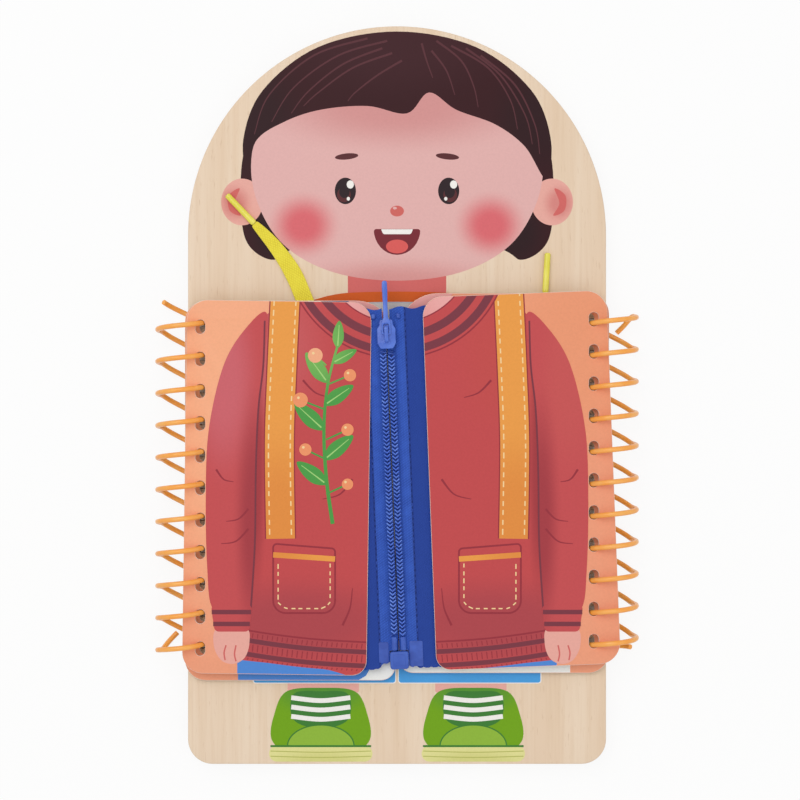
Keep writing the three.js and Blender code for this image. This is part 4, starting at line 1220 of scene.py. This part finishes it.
def crossedThread(values, face):
    # Two strands over each way between the holes, the second way lying on the first
    thread = bmesh.new()
    reach = values["holeReach"] * values["threadReach"]
    for sign in (1, -1):
        top = face + 0.34 + 0.3 * (sign < 0)
        way = [(-1, 0.3), (-0.98, face - 0.1), (-0.7, face + 0.28), (0, top), (0.7, face + 0.28),
               (0.98, face - 0.1), (1, 0.3)]
        for aside in (-values["threadApart"], values["threadApart"]):
            points = [(share * reach + aside * sign, share * reach * sign - aside, z) for share, z in way]
            join(thread, tube(smooth(points, False, 4), values["threadRadius"], 8))
    return thread


def sewnButton(index):
    values, number = shirtButton, str(index + 1)
    reach, face = values["holeReach"], values["thickness"] - values["dish"]
    place = Vector((values["x"], values["topY"] - index * values["pitch"], values["bottom"])) * mm
    holes = [oval(x, y, values["holeDiameter"], steps=20) for x in (-reach, reach) for y in (-reach, reach)]
    disc = oval(0, 0, values["diameter"] - 2 * values["rimWidth"] + 0.6, steps=56)
    bm = buttonRim(values)
    join(bm, slab([disc, *holes], 0, face))
    bmesh.ops.translate(bm, vec=place, verts=bm.verts)
    dress(finishMesh(bm, "shirtButton" + number, 40), "right_second_leaf", [buttonMaterial],
          ["shirt_button_" + number])
    thread = crossedThread(values, face)
    bmesh.ops.translate(thread, vec=place, verts=thread.verts)
    dress(finishMesh(thread, "buttonThread" + number, 60), "right_second_leaf",
          [threadMaterial])


def elasticLoop(index):
    values, number = shirtLoop, str(index + 1)
    radius = values["diameter"] / 2
    y, z = shirtButton["topY"] - index * shirtButton["pitch"], shirtButton["bottom"] + radius
    half, straight = values["width"] / 2 - radius, values["reach"] - values["width"] / 2
    bend = [(-straight - half * math.sin(a), -half * math.cos(a))
            for a in [math.pi * i / 20 for i in range(21)]]
    bm = tube([(values["x"] + px, y + py, z) for px, py in [(0, -half), *bend, (0, half)]], radius, 14)
    for vert in bm.verts:  # Both ends are pressed flat under their bar tack
        near = max(0, 1 - (values["x"] * mm - vert.co.x) / (values["pressedLength"] * mm))
        flat = (vert.co.z - z * mm) * (1 - values["pressed"] * near)
        vert.co.z = z * mm + flat - values["sunk"] * mm * near
    dress(finishMesh(bm, "elasticLoop" + number, 50), "left_second_leaf", [elasticMaterial],
          ["button_loop_" + number])
    tacks = bmesh.new()
    for i in range(values["tacks"]):
        x = values["x"] - 0.3 - values["tackPitch"] * i
        path = [(x, y - half - 1.0, z - 0.6), (x, y - half, z + 0.42), (x, y, z - 0.45),
                (x, y + half, z + 0.42), (x, y + half + 1.0, z - 0.6)]
        join(tacks, tube(smooth(path, False, 4), values["tackRadius"], 6))
    dress(finishMesh(tacks, "loopTack" + number, 60), "left_second_leaf", [threadMaterial])


for index in range(shirtButton["count"]):
    sewnButton(index)
    elasticLoop(index)
print("buttons and loops ready")


# The zip, made about its own middle with its chain along Y and its slider at the head

zipper = {"middleX": -1.8, "middleY": -37.5, "endShift": 2.94, "half": 73.2, "boxTop": -66.0,
          "chainBottom": -59.4, "chainTop": 55.4}
zipPlace = (Matrix.Translation((zipper["middleX"] * mm, zipper["middleY"] * mm, 0))
            @ Matrix.Rotation(math.atan2(zipper["endShift"], zipper["half"]), 4, "Z"))
tape = {"outer": 18.0, "inner": 0.2, "openInner": 1.5, "notchX": 3.85, "notchTop": -65.7, "bottom": 14.42,
        "thickness": 0.5, "rollStart": 3.2, "rollEnd": 7.7, "creaseY": 61.9, "topWave": 1.1, "rows": 150,
        "columns": 44, "stitchPitch": 2.3, "stitchRadius": 0.19}
tapeSides = {
    "left": {"side": -1, "rollHeight": 0.3, "rollExtra": 0.25, "rollHead": 58, "phase": 2.2, "crease": 0.0,
             "filmReach": 8.2, "footRise": 2.6, "pinNode": "zip_insertion_pin"},
    "right": {"side": 1, "rollHeight": 0.6, "rollExtra": 0.45, "rollHead": 65, "phase": 1, "crease": 0.3,
              "filmReach": 9.6, "footRise": 0.8, "pinNode": "zip_retaining_pin"}}
chain = {"pitch": 1.55, "middleX": 1.64, "reachX": 1.16, "middleZ": 16.1, "reachZ": 0.55, "wireRadius": 0.3,
         "stepsPerTurn": 20, "stitchX": 1.66, "stitchReach": 1.16, "stitchZ": 16.94, "stitchRadius": 0.27}


def zipPiece(bm, name, body, material, replaced=(), sharpDegrees=40):
    bm.transform(zipPlace)
    return dress(finishMesh(bm, name, sharpDegrees), body, [material], replaced)


def tapeHeight(values, x, y):
    # The tape lies flat at both ends, and rolls up a little between the chain and its seam
    calm = softStep((y + 61) / 10) * (1 - softStep((y - values["rollHead"]) / 9))
    share = (x - tape["rollStart"]) / (tape["rollEnd"] - tape["rollStart"])
    roll = math.sin(math.pi * min(max(share, 0), 1))
    outer = math.sin(math.pi * min(max((x - tape["rollEnd"]) / 6, 0), 1))
    pucker = 0.07 * math.sin(y * 0.9 + x * 0.5) * math.sin(y * 0.23 + values["phase"])
    seam = math.exp(-((x - tape["rollEnd"]) / 0.55) ** 2)
    crease = math.exp(-((y - tape["creaseY"]) / 0.8) ** 2) * softStep((x - 4) / 2)
    height = values["rollHeight"] * roll ** 0.7 + 0.1 * outer - 0.2 * seam - values["crease"] * crease
    return calm * height + pucker * roll


def tapeSpot(values, share, y):
    # The tape starts beside the chain, opens at the head, and at the foot makes room for the box
    opened = tape["inner"] + (tape["openInner"] - tape["inner"]) * softStep((y - 60) / 7)
    inner = opened if y > tape["notchTop"] else tape["notchX"]
    x = inner + (tape["outer"] - inner) * share
    wave = softStep((y - 64) / 9.2) * tape["topWave"] * (0.5 + 0.5 * math.sin(x * 0.62 + values["side"]))
    rise = softStep((-66 - y) / 7) * values["footRise"] * (1 - softStep((x - 5) / 5))
    ragged = 0.3 * math.sin(2.1 * x) * (y < -73)
    return values["side"] * x, y - wave + max(rise + ragged, 0), tape["bottom"] + tapeHeight(values, x, y)


def zipTape(name, values):
    half = zipper["half"]
    evenRows = [-half + 2 * half * i / tape["rows"] for i in range(tape["rows"] + 1)]
    rows = sorted(evenRows + [tape["notchTop"] - 0.1, tape["notchTop"] + 0.04])
    bm = bmesh.new()
    uv = bm.loops.layers.uv.new("UVMap")
    bmesh.ops.create_grid(bm, x_segments=tape["columns"], y_segments=len(rows) - 1, size=0.5)
    for vert in bm.verts:
        y = rows[round((vert.co.y + 0.5) * (len(rows) - 1))]
        vert.co = Vector(tapeSpot(values, vert.co.x + 0.5, y)) * mm
    for face in bm.faces:
        for loop in face.loops:
            loop[uv].uv = loop.vert.co.xy
    skin = bmesh.ops.extrude_face_region(bm, geom=bm.faces[:])["geom"]
    bmesh.ops.translate(bm, vec=(0, 0, tape["thickness"] * mm),
                        verts=[part for part in skin if isinstance(part, bmesh.types.BMVert)])
    bmesh.ops.recalc_face_normals(bm, faces=bm.faces)
    piece = zipPiece(bm, "zipTape" + name.title(), name + "_front_leaf", tapeMaterial,
                     ["zip_tape_" + name], 50)


def tapeSeam(name, values):
    half, x, top = zipper["half"], tape["rollEnd"], tape["bottom"] + tape["thickness"]
    seam = bmesh.new()
    for i in range(int(2 * half / tape["stitchPitch"])):
        start = -half + (i + 0.4) * tape["stitchPitch"]
        places = [(values["side"] * x, start + step, top + tapeHeight(values, x, start + step) + lift)
                  for step, lift in ((0, -0.12), (0.35, 0.06), (1.1, 0.06), (1.45, -0.12))]
        join(seam, tube(places, tape["stitchRadius"], 6))
    zipPiece(seam, "tapeSeam" + name.title(), name + "_front_leaf", seamMaterial, (), 60)


def zipChain(name, side):
    # A row of nylon turns with a vee of sewing thread over each
    start, end, pitch = zipper["chainBottom"], zipper["chainTop"], chain["pitch"]
    turns = (end - start) / pitch
    steps = round(turns * chain["stepsPerTurn"])
    phase = 0 if side > 0 else math.pi
    points = []
    for i in range(steps + 1):
        angle = fullTurn * turns * i / steps + phase
        points.append((side * chain["middleX"] + chain["reachX"] * math.cos(angle),
                       start + (end - start) * i / steps,
                       chain["middleZ"] + chain["reachZ"] * math.sin(angle)))
    zipPiece(tube(points, chain["wireRadius"], 8), "zipChain" + name.title(), name + "_front_leaf",
             nylonMaterial, ["zip_chain_" + name], 60)
    legs = [(-1, 1.0, -0.4), (-0.6, 0.62, 0.02), (0, -0.1, -0.06), (0.6, 0.62, 0.02), (1, 1.0, -0.4)]
    vee = tube([(side * chain["stitchX"] + chain["stitchReach"] * share, y, chain["stitchZ"] + z)
                for share, y, z in legs], chain["stitchRadius"], 6)
    first = start + (0 if side > 0 else pitch / 2)
    row = repeated(vee, [(0, first + i * pitch, 0) for i in range(int((end - start - 1) / pitch))])
    zipPiece(row, "chainStitch" + name.title(), name + "_front_leaf", stitchMaterial, (), 60)


zipEnds = {"film": {"inner": 4.2, "foot": -73.2, "head": -62.2, "corner": 0.6, "bottom": 14.86,
                    "thickness": 0.34, "rounding": 0.1},
           "stop": {"inner": 4.2, "outer": 5.8, "foot": 68.4, "head": 70.4, "corner": 0.5, "bottom": 14.8,
                    "thickness": 1.6, "rounding": 0.4},
           "pin": {"inner": 0.7, "outer": 2.9, "foot": -65.7, "head": -60.1, "corner": 0.6, "bottom": 14.7,
                   "thickness": 2.3, "rounding": 0.5},
           "pinRidge": {"inner": 1.3, "outer": 2.4, "foot": -65.2, "head": -60.6, "corner": 0.3,
                        "bottom": 16.6, "thickness": 0.55, "rounding": 0.15}}


def zipBlock(side, values):
    outline = box(values["inner"], values["outer"], values["foot"], values["head"], values["corner"])
    # Mirroring turns an outline the other way round, so it is put back
    return slab([outline if side > 0 else mirrored(outline)[::-1]], values["bottom"], values["thickness"],
                values["rounding"])


for name, values in tapeSides.items():
    side, body = values["side"], name + "_front_leaf"
    zipTape(name, values)
    tapeSeam(name, values)
    zipChain(name, side)
    film = {**zipEnds["film"], "outer": values["filmReach"]}
    film["foot"] += values["footRise"]
    zipPiece(zipBlock(side, film), "zipFilm" + name.title(), body, filmMaterial,
             ["zip_film_" + name])
    zipPiece(zipBlock(side, zipEnds["stop"]), "zipTopStop" + name.title(), body,
             mouldedNylonMaterial, ["zip_top_stop_" + name])
    pin = zipBlock(side, zipEnds["pin"])
    join(pin, zipBlock(side, zipEnds["pinRidge"]))
    zipPiece(pin, "zipPin" + name.title(), body, mouldedNylonMaterial, [values["pinNode"]])
print("tapes and chains ready")

retainer = {"halfWidth": 3.75, "bottom": 14.0, "height": 3.45, "cornerRadius": 1.1, "panelInset": 1.3,
            "panelCorner": 0.8, "panelThickness": 0.6, "panelProud": 0.15}


def retainingBox(values):
    half, foot, head = values["halfWidth"], -zipper["half"], zipper["boxTop"]
    inset, top = values["panelInset"], values["bottom"] + values["height"]
    bm = slab([box(-half, half, foot, head, values["cornerRadius"])], values["bottom"],
              values["height"] - values["panelProud"], 0.55)
    panel = box(inset - half, half - inset, foot + inset, head - inset, values["panelCorner"])
    join(bm, slab([panel], top - values["panelThickness"], values["panelThickness"], 0.2))
    return bm


zipPiece(retainingBox(retainer), "zipBox", "right_front_leaf", mouldedNylonMaterial,
         ["zip_retaining_box"])

slider = {"foot": 56.2, "head": 68.0, "halfWidth": 3.75, "neckHalf": 2.55, "footHalf": 2.5,
          "bottomPlate": (13.2, 0.8), "topPlate": (17.45, 0.8), "wallWidth": 0.5, "wall": (15.45, 2.2),
          "dividerHalf": 0.17, "divider": (13.8, 3.8), "bridgeWidth": 1.6, "bridgeThickness": 0.62,
          "bridgeFoot": 59.0, "bridgeHead": 65.2, "bridgeBottom": 17.9, "bridgeTop": 20.1, "bridgeBend": 1.1}
pull = {"pivotY": 62.1, "bottom": 18.6, "thickness": 0.8, "length": 21.5, "ringHalf": 1.9, "stemHalf": 0.9,
        "tipHalf": 1.1, "holeHalf": 1.1, "holeStart": 0.4, "holeEnd": 4.1}


def evenOutline(right):
    # The corners of the right side, then the same on the left
    return rounded(right + [(-x, y, radius) for x, y, radius in right[::-1]], 6)


def sliderBody(values):
    half, neck, foot, head = values["halfWidth"], values["neckHalf"], values["foot"], values["head"]
    outline = evenOutline([(values["footHalf"], foot, 1.3), (half, foot + 2.2, 1.0), (half, foot + 8.0, 0.8),
                           (neck + 0.2, foot + 9.6, 0.6), (neck, head, 0.9)])
    bm = slab([outline], *values["topPlate"], 0.3)
    join(bm, slab([outline], *values["bottomPlate"], 0.2))
    for left in (-half, half - values["wallWidth"]):
        wall = box(left, left + values["wallWidth"], foot + 2.0, foot + 8.0, 0.2)
        join(bm, slab([wall], *values["wall"], 0.1))
    divider = box(-values["dividerHalf"], values["dividerHalf"], foot + 6.4, head - 0.8, 0.05)
    join(bm, slab([divider], *values["divider"], 0.03))
    bottom, top, foot, head = (values["bridgeBottom"], values["bridgeTop"], values["bridgeFoot"],
                               values["bridgeHead"])
    join(bm, slab([box(-1.5, 1.5, foot - 0.9, foot + 0.9, 0.6)], bottom, 0.6, 0.2))
    route = bentLine([(0, foot, bottom), (0, foot, top), (0, head, top), (0, head, bottom)],
                     values["bridgeBend"])
    line, length = evenly(route, 0.22)

    def bridgeSection(share, angle):
        return (squared(math.cos(angle), 0.6) * values["bridgeWidth"] / 2,
                squared(math.sin(angle), 0.6) * values["bridgeThickness"] / 2)
    join(bm, sweep(line, length, bridgeSection, 20, (1, 0, 0)))
    return bm


def pullTab(values):
    ring, stem, tip, hole = values["ringHalf"], values["stemHalf"], values["tipHalf"], values["holeHalf"]
    outline = evenOutline([(ring, -0.4, 0.9), (ring, 4.7, 0.9), (stem + 0.1, 6.6, 1.5), (stem, 12.0, 4.0),
                           (tip, 18.5, 4.0), (tip - 0.1, values["length"], 0.9)])
    bm = slab([outline, box(-hole, hole, values["holeStart"], values["holeEnd"], 0.7)], values["bottom"],
              values["thickness"], 0.28)
    bmesh.ops.translate(bm, vec=(0, values["pivotY"] * mm, 0), verts=bm.verts)
    return bm


zipPiece(sliderBody(slider), "zipSlider", "slider", enamelMaterial, ["zip_slider"])
zipPiece(pullTab(pull), "zipPull", "pull", enamelMaterial, ["zip_pull"])
print("slider and pull ready")
